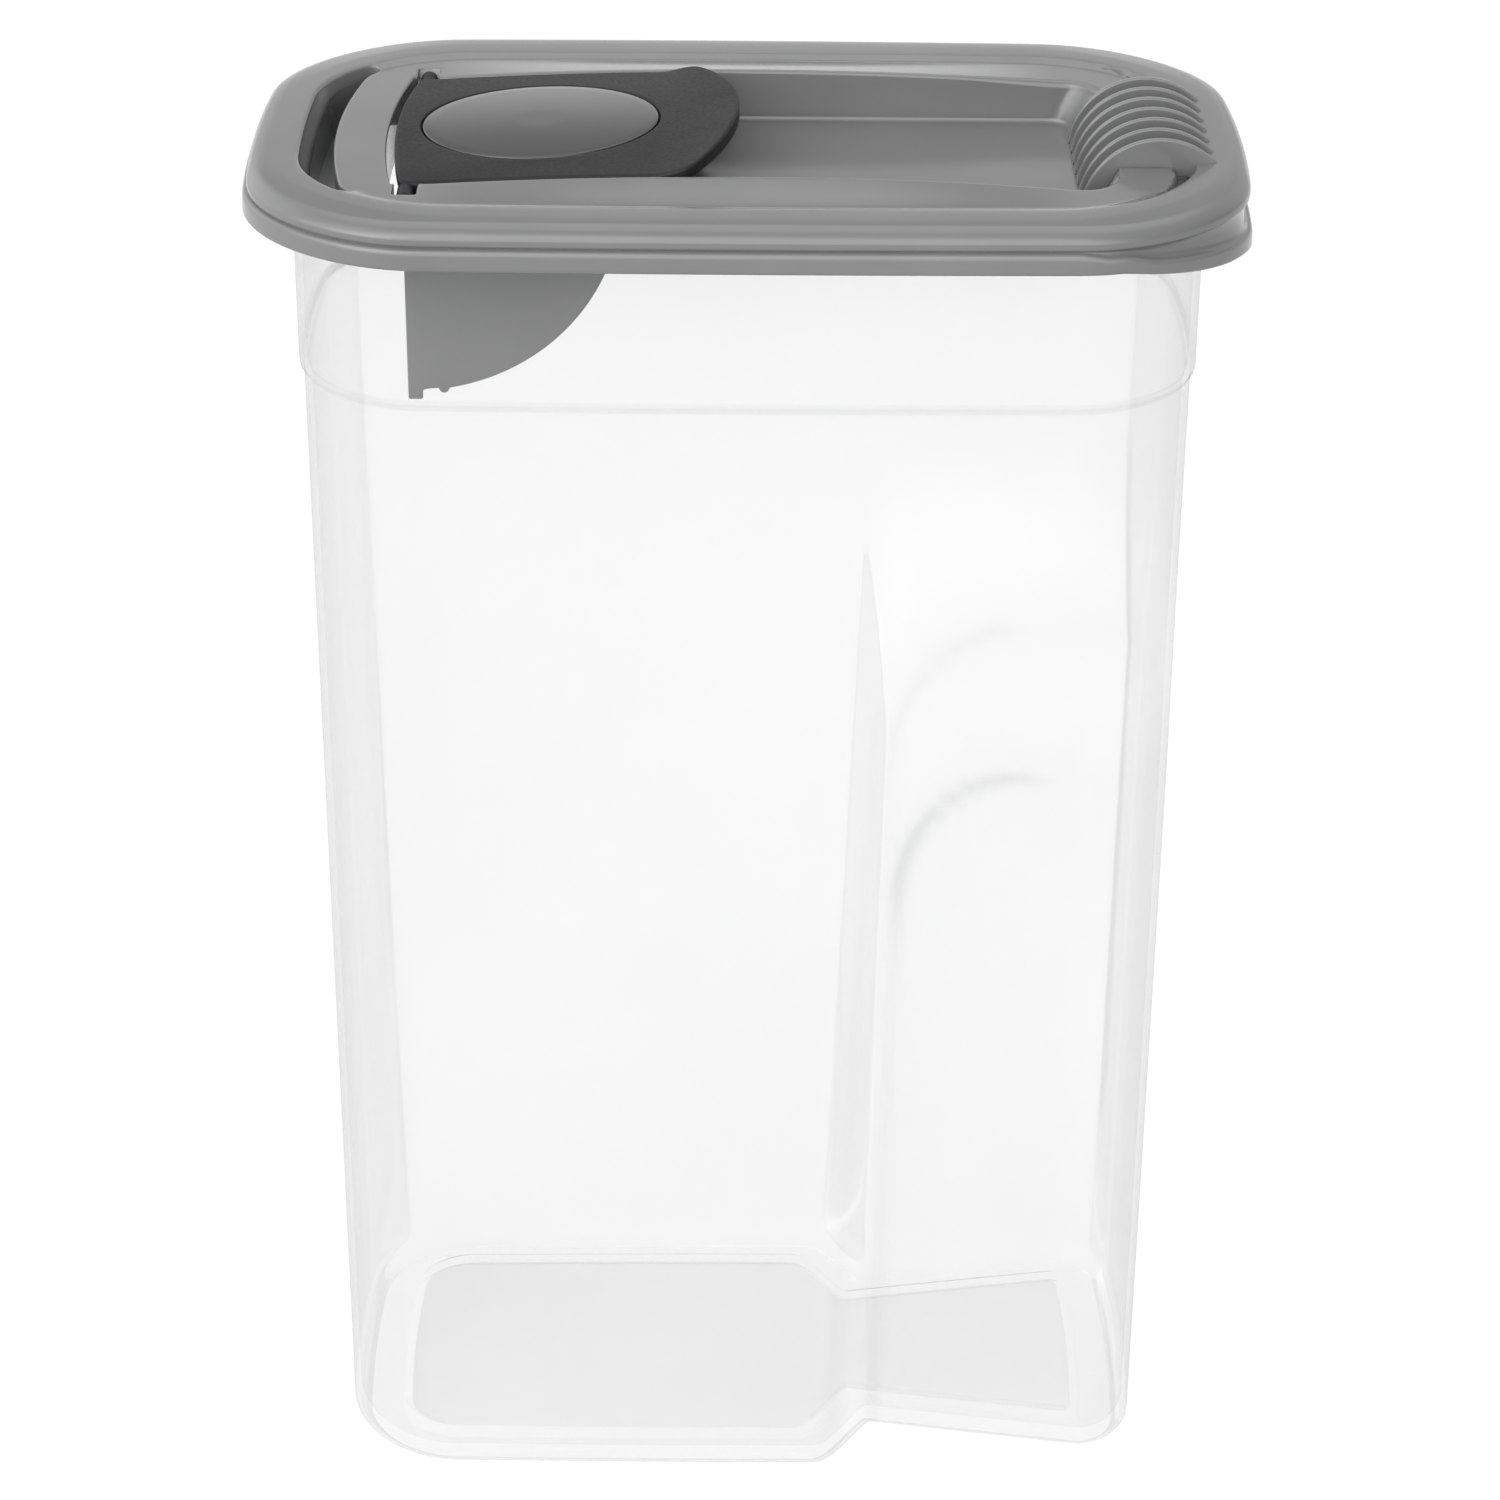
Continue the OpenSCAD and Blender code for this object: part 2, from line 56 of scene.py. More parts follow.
# ---------------------------------------------------------------- mesh helpers
class Shell:
    """Collects rings, strips and filled regions in millimetres and turns them into one mesh."""

    def __init__(self):
        self.points = []
        self.faces = []

    def ring(self, pts):
        start = len(self.points)
        self.points += [tuple(float(c) for c in p) for p in pts]
        return list(range(start, start + len(pts)))

    def strip(self, r0, r1, closed=True):
        n = len(r0)
        for i in range(n if closed else n - 1):
            j = (i + 1) % n
            self.faces.append((r0[i], r0[j], r1[j], r1[i]))

    def loft(self, rings, closed=True):
        ids = [self.ring(r) for r in rings]
        for r0, r1 in zip(ids, ids[1:]):
            self.strip(r0, r1, closed)
        return ids

    def fill(self, loops, height, chains=(), points=()):
        """Triangles between an outer loop and the holes in it, lifted to height(x, y)."""
        co, edges = [], []
        for loop in loops:
            base, n = len(co), len(loop)
            co += [Vector((p[0], p[1])) for p in loop]
            edges += [(base + i, base + (i + 1) % n) for i in range(n)]
        for chain in chains:
            base, n = len(co), len(chain)
            co += [Vector((p[0], p[1])) for p in chain]
            edges += [(base + i, base + i + 1) for i in range(n - 1)]
        co += [Vector((p[0], p[1])) for p in points]
        out = delaunay_2d_cdt(co, edges, [], 0, 1e-6)
        xy = np.array([[v.x, v.y] for v in out[0]])
        tris = np.array(out[2])
        middle = xy[tris].mean(axis=1)
        keep = inside(middle, loops)
        base = self.ring([(x, y, height(x, y)) for x, y in xy])[0]
        self.faces += [tuple(int(i) + base for i in t) for t in tris[keep]]

    def build(self, name, material):
        """The mesh as an object. A face that names a corner twice, as at a cap's ends, takes it once."""
        bm = bmesh.new()
        vs = [bm.verts.new((p[0] * MM, p[1] * MM, p[2] * MM)) for p in self.points]
        for f in self.faces:
            bm.faces.new([vs[i] for i in dict.fromkeys(f)])
        bmesh.ops.remove_doubles(bm, verts=bm.verts, dist=WELD)
        bmesh.ops.recalc_face_normals(bm, faces=bm.faces)
        for f in bm.faces:
            f.smooth = True
        mesh = bpy.data.meshes.new(name)
        bm.to_mesh(mesh)
        bm.free()
        obj = bpy.data.objects.new(name, mesh)
        bpy.context.scene.collection.objects.link(obj)
        obj.data.materials.append(material)
        return obj


def inside(pts, loops):
    """Even-odd test of many points against closed loops."""
    hit = np.zeros(len(pts), dtype=bool)
    x, y = pts[:, 0], pts[:, 1]
    for loop in loops:
        p = np.array([(q[0], q[1]) for q in loop])
        q = np.roll(p, -1, axis=0)
        for (x0, y0), (x1, y1) in zip(p, q):
            if y0 == y1:
                continue
            cross = (y0 > y) != (y1 > y)
            hit ^= cross & (x < (x1 - x0) * (y - y0) / (y1 - y0) + x0)
    return hit


def smooth(t):
    t = min(1.0, max(0.0, t))
    return t * t * (3 - 2 * t)


def lerp(a, b, t):
    return a + (b - a) * t


def rounded(a, b, r, corner=18, long=34, short=10):
    """Rounded rectangle round the origin, from its left middle by the front to the right and back."""
    turns = [QUARTER * k / corner for k in range(corner)]
    pts = [(-a, -(b - r) * k / short) for k in range(short)]
    pts += [(-(a - r) - r * math.cos(t), -(b - r) - r * math.sin(t)) for t in turns]
    pts += [(lerp(-(a - r), a - r, k / long), -b) for k in range(long)]
    pts += [(a - r + r * math.sin(t), -(b - r) - r * math.cos(t)) for t in turns]
    pts += [(a, -(b - r) * (1 - k / short)) for k in range(short)]
    return pts + [(-x, -y) for x, y in pts]


def bowed(pts, a, b):
    """Bulges the sides of an outline, by the same curve for every outline of the object."""
    return [(x * (1 - END_BOW / a * (y / LID_B) ** 2), y * (1 - SIDE_BOW / b * (x / LID_A) ** 2))
            for x, y in pts]


def outline(inset):
    """Outline of the lid's rim, moved inwards."""
    return bowed(rounded(LID_A - inset, LID_B - inset, LID_R - inset), LID_A, LID_B)


def crown(x):
    """Height of the crown of the lid's inner part and of the cover."""
    return LID_Z - PLATEAU_DROP + CROWN_RISE * max(0.0, 1 - (x / CROWN_HALF) ** 2)


def shifted(loop, amount):
    """Loop moved outwards by amount at each corner, along the mitre. amount may be a list."""
    n = len(loop)
    area = sum(loop[i][0] * loop[(i + 1) % n][1] - loop[(i + 1) % n][0] * loop[i][1] for i in range(n))
    turn = 1 if area > 0 else -1
    out = []
    for i in range(n):
        d = amount[i] if hasattr(amount, "__len__") else amount
        p0, p1, p2 = loop[i - 1], loop[i], loop[(i + 1) % n]
        e0 = (p1[0] - p0[0], p1[1] - p0[1])
        e1 = (p2[0] - p1[0], p2[1] - p1[1])
        l0, l1 = math.hypot(*e0) or 1, math.hypot(*e1) or 1
        n0 = (turn * e0[1] / l0, -turn * e0[0] / l0)
        n1 = (turn * e1[1] / l1, -turn * e1[0] / l1)
        k = max(0.35, 1 + n0[0] * n1[0] + n0[1] * n1[1])
        out.append((p1[0] + d * (n0[0] + n1[0]) / k, p1[1] + d * (n0[1] + n1[1]) / k))
    return out


def divided(loop, step=3.0):
    """Loop with its long edges cut into pieces of about step, corners kept."""
    out = []
    for i, p in enumerate(loop):
        q = loop[(i + 1) % len(loop)]
        n = max(1, int(round(math.hypot(q[0] - p[0], q[1] - p[1]) / step)))
        out += [(lerp(p[0], q[0], k / n), lerp(p[1], q[1], k / n)) for k in range(n)]
    return out


def relaxed(loop, rounds):
    """Loop with each corner drawn towards its two neighbours, so that its bends run softly."""
    for _ in range(rounds):
        n = len(loop)
        loop = [tuple((loop[i - 1][k] + 2 * loop[i][k] + loop[(i + 1) % n][k]) / 4 for k in (0, 1))
                for i in range(n)]
    return loop


# ---------------------------------------------------------------- materials
def new_material(name):
    mat = bpy.data.materials.new(name)
    mat.use_nodes = True
    tree = mat.node_tree
    tree.nodes.clear()
    out = tree.nodes.new("ShaderNodeOutputMaterial")
    return mat, tree, out


def coordinates(tree, scale=(1, 1, 1)):
    tex = tree.nodes.new("ShaderNodeTexCoord")
    mapping = tree.nodes.new("ShaderNodeMapping")
    mapping.inputs["Scale"].default_value = scale
    tree.links.new(tex.outputs["Object"], mapping.inputs["Vector"])
    return mapping.outputs["Vector"]


def noise(tree, vector, scale, detail=4.0, rough=0.5):
    node = tree.nodes.new("ShaderNodeTexNoise")
    node.inputs["Scale"].default_value = scale
    node.inputs["Detail"].default_value = detail
    node.inputs["Roughness"].default_value = rough
    tree.links.new(vector, node.inputs["Vector"])
    return node.outputs["Fac"]


def ramp(tree, fac, low, high):
    """Maps the middle range of a noise to low at its dark end and high at its bright end."""
    node = tree.nodes.new("ShaderNodeMapRange")
    node.inputs["From Min"].default_value = 0.3
    node.inputs["From Max"].default_value = 0.7
    node.inputs["To Min"].default_value = low
    node.inputs["To Max"].default_value = high
    tree.links.new(fac, node.inputs["Value"])
    return node.outputs["Result"]


def two_tone(tree, fac, dark, light):
    node = tree.nodes.new("ShaderNodeMix")
    node.data_type = "RGBA"
    node.inputs["A"].default_value = (*dark, 1)
    node.inputs["B"].default_value = (*light, 1)
    tree.links.new(fac, node.inputs["Factor"])
    return node.outputs["Result"]


def arithmetic(tree, operation, first, second, clamp=False):
    """Adds or multiplies two values, each a node's output or a number."""
    node = tree.nodes.new("ShaderNodeMath")
    node.operation = operation
    node.use_clamp = clamp
    for value, socket in zip((first, second), node.inputs):
        if isinstance(value, (int, float)):
            socket.default_value = value
        else:
            tree.links.new(value, socket)
    return node.outputs["Value"]


def blend(tree, share, first, second):
    """Shader that turns from the first to the second by a share from 0 to 1."""
    node = tree.nodes.new("ShaderNodeMixShader")
    tree.links.new(share, node.inputs["Fac"])
    tree.links.new(first, node.inputs[1])
    tree.links.new(second, node.inputs[2])
    return node.outputs["Shader"]


def plastic(name, dark, light, rough, bump=0.03, blotch=40.0, stretch=(1, 1, 1), specular=0.5):
    """Moulded plastic: faint blotches of tone, a fine grain in gloss and in height."""
    mat, tree, out = new_material(name)
    where = coordinates(tree, stretch)
    broad = noise(tree, where, blotch, 3.0)
    fine = noise(tree, where, 2600.0, 5.0, 0.6)
    shader = tree.nodes.new("ShaderNodeBsdfPrincipled")
    tree.links.new(two_tone(tree, ramp(tree, broad, 0.0, 1.0), dark, light), shader.inputs["Base Color"])
    tree.links.new(ramp(tree, fine, *rough), shader.inputs["Roughness"])
    shader.inputs["Specular IOR Level"].default_value = specular
    relief = tree.nodes.new("ShaderNodeBump")
    relief.inputs["Strength"].default_value = bump
    relief.inputs["Distance"].default_value = 0.0001
    tree.links.new(fine, relief.inputs["Height"])
    tree.links.new(relief.outputs["Normal"], shader.inputs["Normal"])
    tree.links.new(shader.outputs["BSDF"], out.inputs["Surface"])
    return mat


def clear_plastic(name, haze_curve, gloss_share, fold_and_light_share):
    """Clear, slightly milky wall: nearly see-through face on, milkier edge on and in the tight folds; a
    vertex attribute also takes haze away as painted lightening.
    """
    mat, tree, out = new_material(name)
    where = coordinates(tree)
    facing = tree.nodes.new("ShaderNodeLayerWeight")
    facing.inputs["Blend"].default_value = 0.5
    curve = tree.nodes.new("ShaderNodeFloatCurve")
    points = curve.mapping.curves[0].points
    points[0].location = haze_curve[0]
    points[1].location = haze_curve[-1]
    for x, y in haze_curve[1:-1]:
        points.new(x, y)
    curve.mapping.update()
    tree.links.new(facing.outputs["Facing"], curve.inputs["Value"])
    cloud = ramp(tree, noise(tree, where, 14.0, 4.0), 0.85, 1.15)
    haze = arithmetic(tree, "MULTIPLY", curve.outputs["Value"], cloud)
    # vertex attribute: haze in the folds, less the painted lightening on the grip's slope and the back arch
    fold_and_light_attribute = tree.nodes.new("ShaderNodeAttribute")
    fold_and_light_attribute.attribute_name = "fold_haze_and_painted_light"
    fold_and_light_haze = arithmetic(tree, "MULTIPLY", fold_and_light_attribute.outputs["Fac"], fold_and_light_share)
    milky = arithmetic(tree, "ADD", fold_and_light_haze, haze, clamp=True)

    clear = tree.nodes.new("ShaderNodeBsdfTransparent")
    clear.inputs["Color"].default_value = (1, 1, 1, 1)
    milk = tree.nodes.new("ShaderNodeBsdfDiffuse")
    milk.inputs["Color"].default_value = (0.36, 0.36, 0.363, 1)
    wall = blend(tree, milky, clear.outputs["BSDF"], milk.outputs["BSDF"])

    shine = tree.nodes.new("ShaderNodeBsdfGlossy")
    shine.inputs["Color"].default_value = (0.8, 0.8, 0.8, 1)
    tree.links.new(ramp(tree, noise(tree, where, 60.0, 3.0), 0.1, 0.2), shine.inputs["Roughness"])
    fresnel = tree.nodes.new("ShaderNodeLayerWeight")
    fresnel.inputs["Blend"].default_value = 0.25
    gloss = arithmetic(tree, "MULTIPLY", fresnel.outputs["Fresnel"], gloss_share, clamp=True)
    tree.links.new(blend(tree, gloss, wall, shine.outputs["BSDF"]), out.inputs["Surface"])
    return mat


# Haze of the wall's two faces, from seen face on (0) to seen edge on (1).
HAZE_OUTSIDE = ((0.0, 0.094), (0.2, 0.092), (0.35, 0.084), (0.53, 0.072), (0.71, 0.080), (0.8, 0.11),
                (0.93, 0.20), (1.0, 0.30))
HAZE_INSIDE = ((0.0, 0.048), (0.35, 0.044), (0.55, 0.036), (0.8, 0.038), (1.0, 0.05))

mat_clear = clear_plastic("clear_wall_outside", HAZE_OUTSIDE, 0.3, 0.26)
mat_clear_inside = clear_plastic("clear_wall_inside", HAZE_INSIDE, 0.06, 0.13)
mat_lid = plastic("lid_grey_plastic", (0.111, 0.111, 0.113), (0.123, 0.123, 0.125), (0.13, 0.19))
mat_chute = plastic("chute_grey_plastic", (0.101, 0.101, 0.103), (0.113, 0.113, 0.115), (0.28, 0.36))
mat_cover = plastic("cover_soft_black", (0.004, 0.004, 0.005), (0.012, 0.012, 0.013), (0.42, 0.6),
                    bump=0.08, blotch=60.0, stretch=(0.5, 1.2, 1), specular=0.2)
mat_badge = plastic("badge_gloss_grey", (0.022, 0.022, 0.023), (0.028, 0.028, 0.029), (0.10, 0.15),
                    bump=0.0, specular=0.6)


# ---------------------------------------------------------------- container
WALL = 1.5
BODY_A, BODY_B, BODY_R = 86.5, 44.2, 22.6   # body under the neck: half length, half width and corner
STEP_Z = 249.0                              # the small outward step between the body and the neck
FOOT_R, FOOT_DRAFT = 22.2, 0.35             # corner at the foot, and how much narrower the foot is
NECK_OUT, NECK_R = 0.9, 23.5                # how far the neck stands out, and its corner
BEAD_A, BEAD_B, BEAD_R = 93.8, 54.5, 30.4   # rim that the lid clicks over

# The grip is a family of outlines: number 0 is where the wall starts to sink, 1 is the edge of the floor.
GRIP_TOP = (210.0, 165.0)
GRIP_X, GRIP_LEAN = 17.0, 0.045             # left edge of outline 0 at the foot, and its lean with height
FLOOR_X, FLOOR_LEAN = 12.0, 0.018           # how far to its right outline 1 lies, and that one's lean
GRIP_TURN_X = (12.0, 24.0)                  # half axes of the ellipse at the grip's upper left corner
GRIP_TURN_Z = (17.0, 30.0)
GRIP_DEEP, GRIP_LEVEL, GRIP_RISE = 14.5, 30, 0.182    # depth up to an x, and how it lessens beyond
GRIP_CORNER = 11.0                          # corner of the body where the grip is at its full depth
ARCH_HALF = 1.6                             # half width of the milky line round the grip's floor
FINE_FROM, FINE_STEP, FINE_COUNT = 10, 0.9, 32    # close spacing of a section's points over the grip


def grip_left(t, z):
    """Left edge of the grip's outline t at height z."""
    return GRIP_X + lerp(GRIP_LEAN * z, FLOOR_X + FLOOR_LEAN * z, t)


def grip_corner(t, x, z):
    """How far out a point lies on the grip's upper left corner, along x and along z, in half axes."""
    rx, rz = lerp(*GRIP_TURN_X, t), lerp(*GRIP_TURN_Z, t)
    u = max(0.0, (grip_left(t, z) + rx - x) / rx)
    v = max(0.0, (z - lerp(*GRIP_TOP, t) + rz) / rz)
    return u, v


def in_grip(t, x, z):
    """Whether a point of the wall lies inside the grip's outline t."""
    u, v = grip_corner(t, x, z)
    return x > grip_left(t, z) and z < lerp(*GRIP_TOP, t) and u * u + v * v < 1


def grip_depth(x):
    """Depth of the grip's floor, which rises towards the right end."""
    return GRIP_DEEP - GRIP_RISE * max(0.0, x - GRIP_LEVEL)


def grip_sink(x, z):
    """Depth of the finger grip: soft where it starts, with a crease where it meets its flat floor."""
    if not in_grip(0, x, z):
        return 0.0
    low, high = 0.0, 1.0
    if in_grip(1, x, z):
        low = 1.0
    else:
        for _ in range(14):
            mid = (low + high) / 2
            if in_grip(mid, x, z):
                low = mid
            else:
                high = mid
    ease = lerp(smooth(low), 1 - math.cos(low * QUARTER), 0.6)
    return ease * grip_depth(x)


def fold_haze_and_painted_light(x, y, z):
    """How milky the wall is: most along the step and round the grip's floor; less on the grip's slope and on
    the back's arch, as painted lightening that offsets the slope's darker shading and lets the back arch
    show lighter through the front.
    """
    step = smooth((z - STEP_Z + 0.5) / 0.5) * smooth((STEP_Z + 1.4 - z) / 0.6)
    u, v = grip_corner(1, x, z)
    turn = lerp(GRIP_TURN_X[1], GRIP_TURN_Z[1], v * v / max(1e-6, u * u + v * v))
    off = (math.hypot(u, v) - 1) * turn
    arch = math.exp(-(off / ARCH_HALF) ** 2)    # it fades towards the foot and towards the right end
    arch *= lerp(0.2, 1.0, smooth((z - 118) / 30)) * smooth((62 - x) / 9)
    share = grip_sink(x, z) / grip_depth(x)
    # painted lightening: less haze on the grip's slope, to offset the slope's darker shading
    painted_slope_lightening = 4 * share * (1 - share) * smooth((x - 20) / 4)
    # the back's arch is weaker, a painted lightening so that it shows lighter through the front wall
    return max(0.8 * step, arch * (1.0 if y < 0 else 0.2)) - 0.2 * painted_slope_lightening


def body_outline(a, b, r, right_r, back):
    """Front half, from the left middle to the right middle, close together over the grip."""
    short = 5
    turns = [QUARTER * k / 14 for k in range(14)]
    fine_to = FINE_FROM + FINE_STEP * FINE_COUNT
    xs = [lerp(-(a - r), FINE_FROM, k / 16) for k in range(16)]
    xs += [FINE_FROM + FINE_STEP * k for k in range(FINE_COUNT)]
    xs += [lerp(fine_to, a - right_r, k / 10) for k in range(10)]
    low = b - back - right_r
    half = [(-a, -(b - r) * k / short) for k in range(short)]
    half += [(-(a - r) - r * math.cos(t), -(b - r) - r * math.sin(t)) for t in turns]
    half += [(x, -b) for x in xs]
    half += [(a - right_r + right_r * math.sin(t), -low - right_r * math.cos(t)) for t in turns]
    return half + [(a, -low * (1 - k / short)) for k in range(short + 1)]


def mirrored(half, z):
    """Whole ring at height z from its front half."""
    return [(x, y, z) for x, y in half] + [(x, -y, z) for x, y in reversed(half[1:-1])]


def body_ring(z, inset):
    """Section of the body with the grip sunk into its front and its back."""
    k = z / STEP_Z
    a = BODY_A - FOOT_DRAFT * (1 - k) - inset
    b = BODY_B - FOOT_DRAFT * (1 - k) - inset
    r = lerp(FOOT_R, BODY_R, k) - inset
    probe = BODY_A - 14
    share = grip_sink(probe, z + inset / 2) / grip_depth(probe)
    right_r = lerp(r, max(2.0, GRIP_CORNER - inset), share)
    back = grip_sink(a - right_r + inset / 2, z + inset / 2)
    half = [(x, -min(-y, b - grip_sink(x + inset / 2, z + inset / 2)))
            for x, y in body_outline(a, b, r, right_r, back)]
    return mirrored(bowed(half, a, b), z)


def plain_ring(a, b, r, z):
    return mirrored(bowed(body_outline(a, b, r, r, 0), a, b), z)


def neck_ring(z, out):
    return plain_ring(BODY_A + NECK_OUT + out, BODY_B + NECK_OUT + out, NECK_R + out, z)


def bead_ring(z, inset):
    return plain_ring(BEAD_A - inset, BEAD_B - inset, BEAD_R - inset, z)


def profile(ring, *stations):
    """Rings of one kind at stations of height and inset (or, on the neck, height and outset)."""
    return [ring(z, inset) for z, inset in stations]


def make_container():
    shell = Shell()
    heights = [12, 24, 40, 60, 80, 95, 108, 118, 126] + list(range(131, 172))
    heights += list(range(174, 216, 3)) + [222, 234, 244]

    # Outside: under the foot, round its edge, up the body, over the step and out to the bead.
    rings = profile(body_ring, (1.6, 12.6), (1.5, 12.0), (0.9, 11.4), (0.15, 10.9), (0, 10.3), (0, 3.8))
    rings += [body_ring(4.3 - 4.3 * math.sin(t), 3.6 - 3.6 * math.cos(t))
              for t in (QUARTER * k / 9 for k in range(9, -1, -1))]
    rings += [body_ring(z, 0) for z in heights]
    rings += profile(body_ring, (248.4, 0), (248.9, 0.05))
    rings += profile(neck_ring, (249.4, -0.5), (249.9, -0.12), (250.6, 0), (264, 0), (278, 0), (280, 1.6))
    rings += profile(bead_ring, (282, 1), (282.8, 0.1), (284.8, 0), (286.6, 0), (287.1, 0.35), (287.2, 0.8))

    # Inside: down from the bead to the raised middle of the bottom.
    rings += profile(bead_ring, (287.1, 1.3), (286.6, 1.5), (283.6, 1.6))
    rings += profile(neck_ring, (280.2, -0.15), (278, -WALL), (264, -WALL), (250.8, -WALL), (249.9, -1.8))
    rings += [body_ring(z, WALL) for z in [248.6] + heights[::-1]]
    rings += [body_ring(8.2 - 5.6 * math.sin(t), WALL + 5.0 * (1 - math.cos(t)))
              for t in (QUARTER * k / 7 for k in range(0, 8))]
    rings += profile(body_ring, (2.6, 10.2), (2.8, 10.9), (3.7, 11.8), (4.2, 12.6))
    ids = shell.loft(rings)
    for ring in (ids[0], ids[-1]):
        n = len(ring)
        for i in range(n // 2):
            shell.faces.append((ring[i], ring[i + 1], ring[(n - i - 1) % n], ring[(n - i) % n]))
    return shell.build("container_clear", mat_clear)


container = make_container()
container.data.materials.append(mat_clear_inside)
# Faces that look inwards, and the upper side of the bottom, take the inner haze.
for face in container.data.polygons:
    outwards = face.center.x * face.normal.x + face.center.y * face.normal.y
    if outwards < -1e-4 or (face.normal.z > 0.7 and face.center.z < 0.006):
        face.material_index = 1
# Per vertex: haze along the step and the grip's crease, minus painted lightening on the grip's slope and a
# weaker back arch
fold_and_light_attribute = container.data.attributes.new("fold_haze_and_painted_light", "FLOAT", "POINT")
fold_and_light_attribute.data.foreach_set("value", [fold_haze_and_painted_light(*(v.co / MM)) for v in container.data.vertices])
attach(container, "container")
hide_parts("container")


# ---------------------------------------------------------------- lid
RIM_A, RIM_B, RIM_R = 86.0, 45.3, 27.8      # inner edge of the rim
TIP_A, TIP_R = 81.8, 23.0                   # right end of the plateau inside the rim
PLUG_A, PLUG_B, PLUG_R = 85.3, 43.0, 21.4   # wall that plugs into the container's neck
PLUG_Z, PLUG_WALL = 277.0, 1.6
UNDER_Z = 287.5                             # underside of the lid's plate
EDGE_INSET = 3.9                            # from here outwards the rim is rounded
EDGE_Z = 287.3                              # down to here
BAND_Z = 285.75                             # upper edge of the band under the rim, away from the pull lip
WELL_B, FLOOR_B = 30.5, 30.1                # half width of the well at its upper edge and at its floor
WELL_Z = 281.0
WELL_LEFT = -69.7                           # middle of the well's bowed left end
BOX_X, BOX_B = (-71.4, 70.4), 32.2          # box round the well: its ends and its half width
BOX_Z = 279.2                               # underside of that box
POUR_X = -23.0                              # right edge of the pour opening
NOTCH_X, NOTCH_B = (-66.4, -62.0), 36.3     # hinge notches beside the well
POCKET_B, POCKET_Z = 36.4, 278.8            # half width and floor of the crescent pocket
TONGUE_X, TONGUE_CURVE = -79.8, 310.0       # tongue between pocket and well: middle and bow of its left edge
THUMB_X = (63.1, 70.1, 79.4)                # scoop for the thumb: where it starts, narrows and ends
SCOOP_B = 18.9                              # half width of the scoop under the ribs
RIB_COUNT, RIB_PITCH, RIB_HALF = 7, 6.0, 0.65     # thumb ribs: number, spacing and half thickness
RIB_CENTRE, RIB_R = (78.0, 279.8), 14.8     # x and z of the arches' centre, and their radius
RIB_FOOT = 280.7


def rim_inset(x, y, a=RIM_A, b=RIM_B, r=RIM_R):
    """How far a point lies inside the rim's inner edge, less than 0 on the rim."""
    flat_x = abs(x) / (1 - END_BOW / a * (y / LID_B) ** 2)
    flat_y = abs(y) / (1 - SIDE_BOW / b * (x / LID_A) ** 2)
    qx, qy = flat_x - (a - r), flat_y - (b - r)
    d = min(max(qx, qy), 0.0) + math.hypot(max(qx, 0.0), max(qy, 0.0)) - r
    return -d


def lid_top(x, y):
    """Height of the lid's top face: rounded rim, plateau crowned in the middle, groove at the right."""
    e = rim_inset(x, y)
    z = LID_Z - PLATEAU_DROP * smooth(e / 3.2)
    if e < 0:
        z -= 0.02 * max(0.0, abs(e + 3.5) - 2.0) ** 2
    z += smooth((44.5 - abs(y)) / 15.0) * (crown(x) - crown(CROWN_HALF))
    if x > 58:
        tip = rim_inset(x, y, TIP_A, RIM_B, TIP_R)
        z -= 3.2 * smooth((x - 62) / 12) * smooth((e - 0.5) / 0.9) * smooth((0.45 - tip) / 0.9)
    return z


def well_loop():
    """Upper edge of the well with the hinge notches and the scoop under the ribs."""
    left, right = NOTCH_X
    start, neck, end = THUMB_X
    pts = [(WELL_LEFT + y * y / END_CURVE, y) for y in np.linspace(WELL_B, -WELL_B, 25)]
    half = [(left, -WELL_B), (left, 0.4 - NOTCH_B), (left + 0.3, -NOTCH_B), (right - 0.3, -NOTCH_B),
            (right, 0.4 - NOTCH_B), (right, -WELL_B)]
    half += [(POUR_X, -WELL_B), (-20.5, -WELL_B), (62.5, -WELL_B)]
    half += [(start + 7 * math.sin(t), 11 - WELL_B - 11 * math.cos(t))
             for t in np.linspace(0.1, QUARTER, 14)]
    half += [(neck, -SCOOP_B), (end, -SCOOP_B)]
    pts += half + [(x, -y) for x, y in reversed(half)]
    return divided(pts, 2.4)


def well_floor_point(x, y):
    """Where a point of the well's upper edge comes down to at the floor."""
    start, across = THUMB_X[0], 19.5
    if x <= start:
        foot = x if x < 50 else lerp(50, 59.5, (x - 50) / (start - 50))
        return foot, math.copysign(min(FLOOR_B, abs(y)), y)
    along = min(1.0, (x - start) / 7)
    deep = 26.5 * abs(y) / across if abs(y) < across else 26.5 + 3.6 * (abs(y) - across) / 11
    return 59.5 + 5 * along, math.copysign(deep, y)


def pocket_outer(y):
    """Left edge of the pocket, along the rim's inner edge."""
    q = max(0.0, abs(y) * 1.02 - (RIM_B - RIM_R))
    x = -(RIM_A - RIM_R) - math.sqrt(RIM_R ** 2 - q ** 2)
    return x * (1 - END_BOW / RIM_A * (y / LID_B) ** 2)


def plug_inside(y):
    """Inner face of the plug at its left end."""
    r = PLUG_R - PLUG_WALL
    q = min(19.0, max(0.0, abs(y) - (PLUG_B - PLUG_R)))
    x = -(PLUG_A - PLUG_R) - math.sqrt(r ** 2 - q ** 2)
    return x * (1 - END_BOW / PLUG_A * (y / LID_B) ** 2)


def tongue_edge(y):
    """Right edge of the pocket, along the tongue beside the well."""
    return TONGUE_X + y * y / TONGUE_CURVE + 1.8 * smooth((abs(y) - 31) / 4.5)


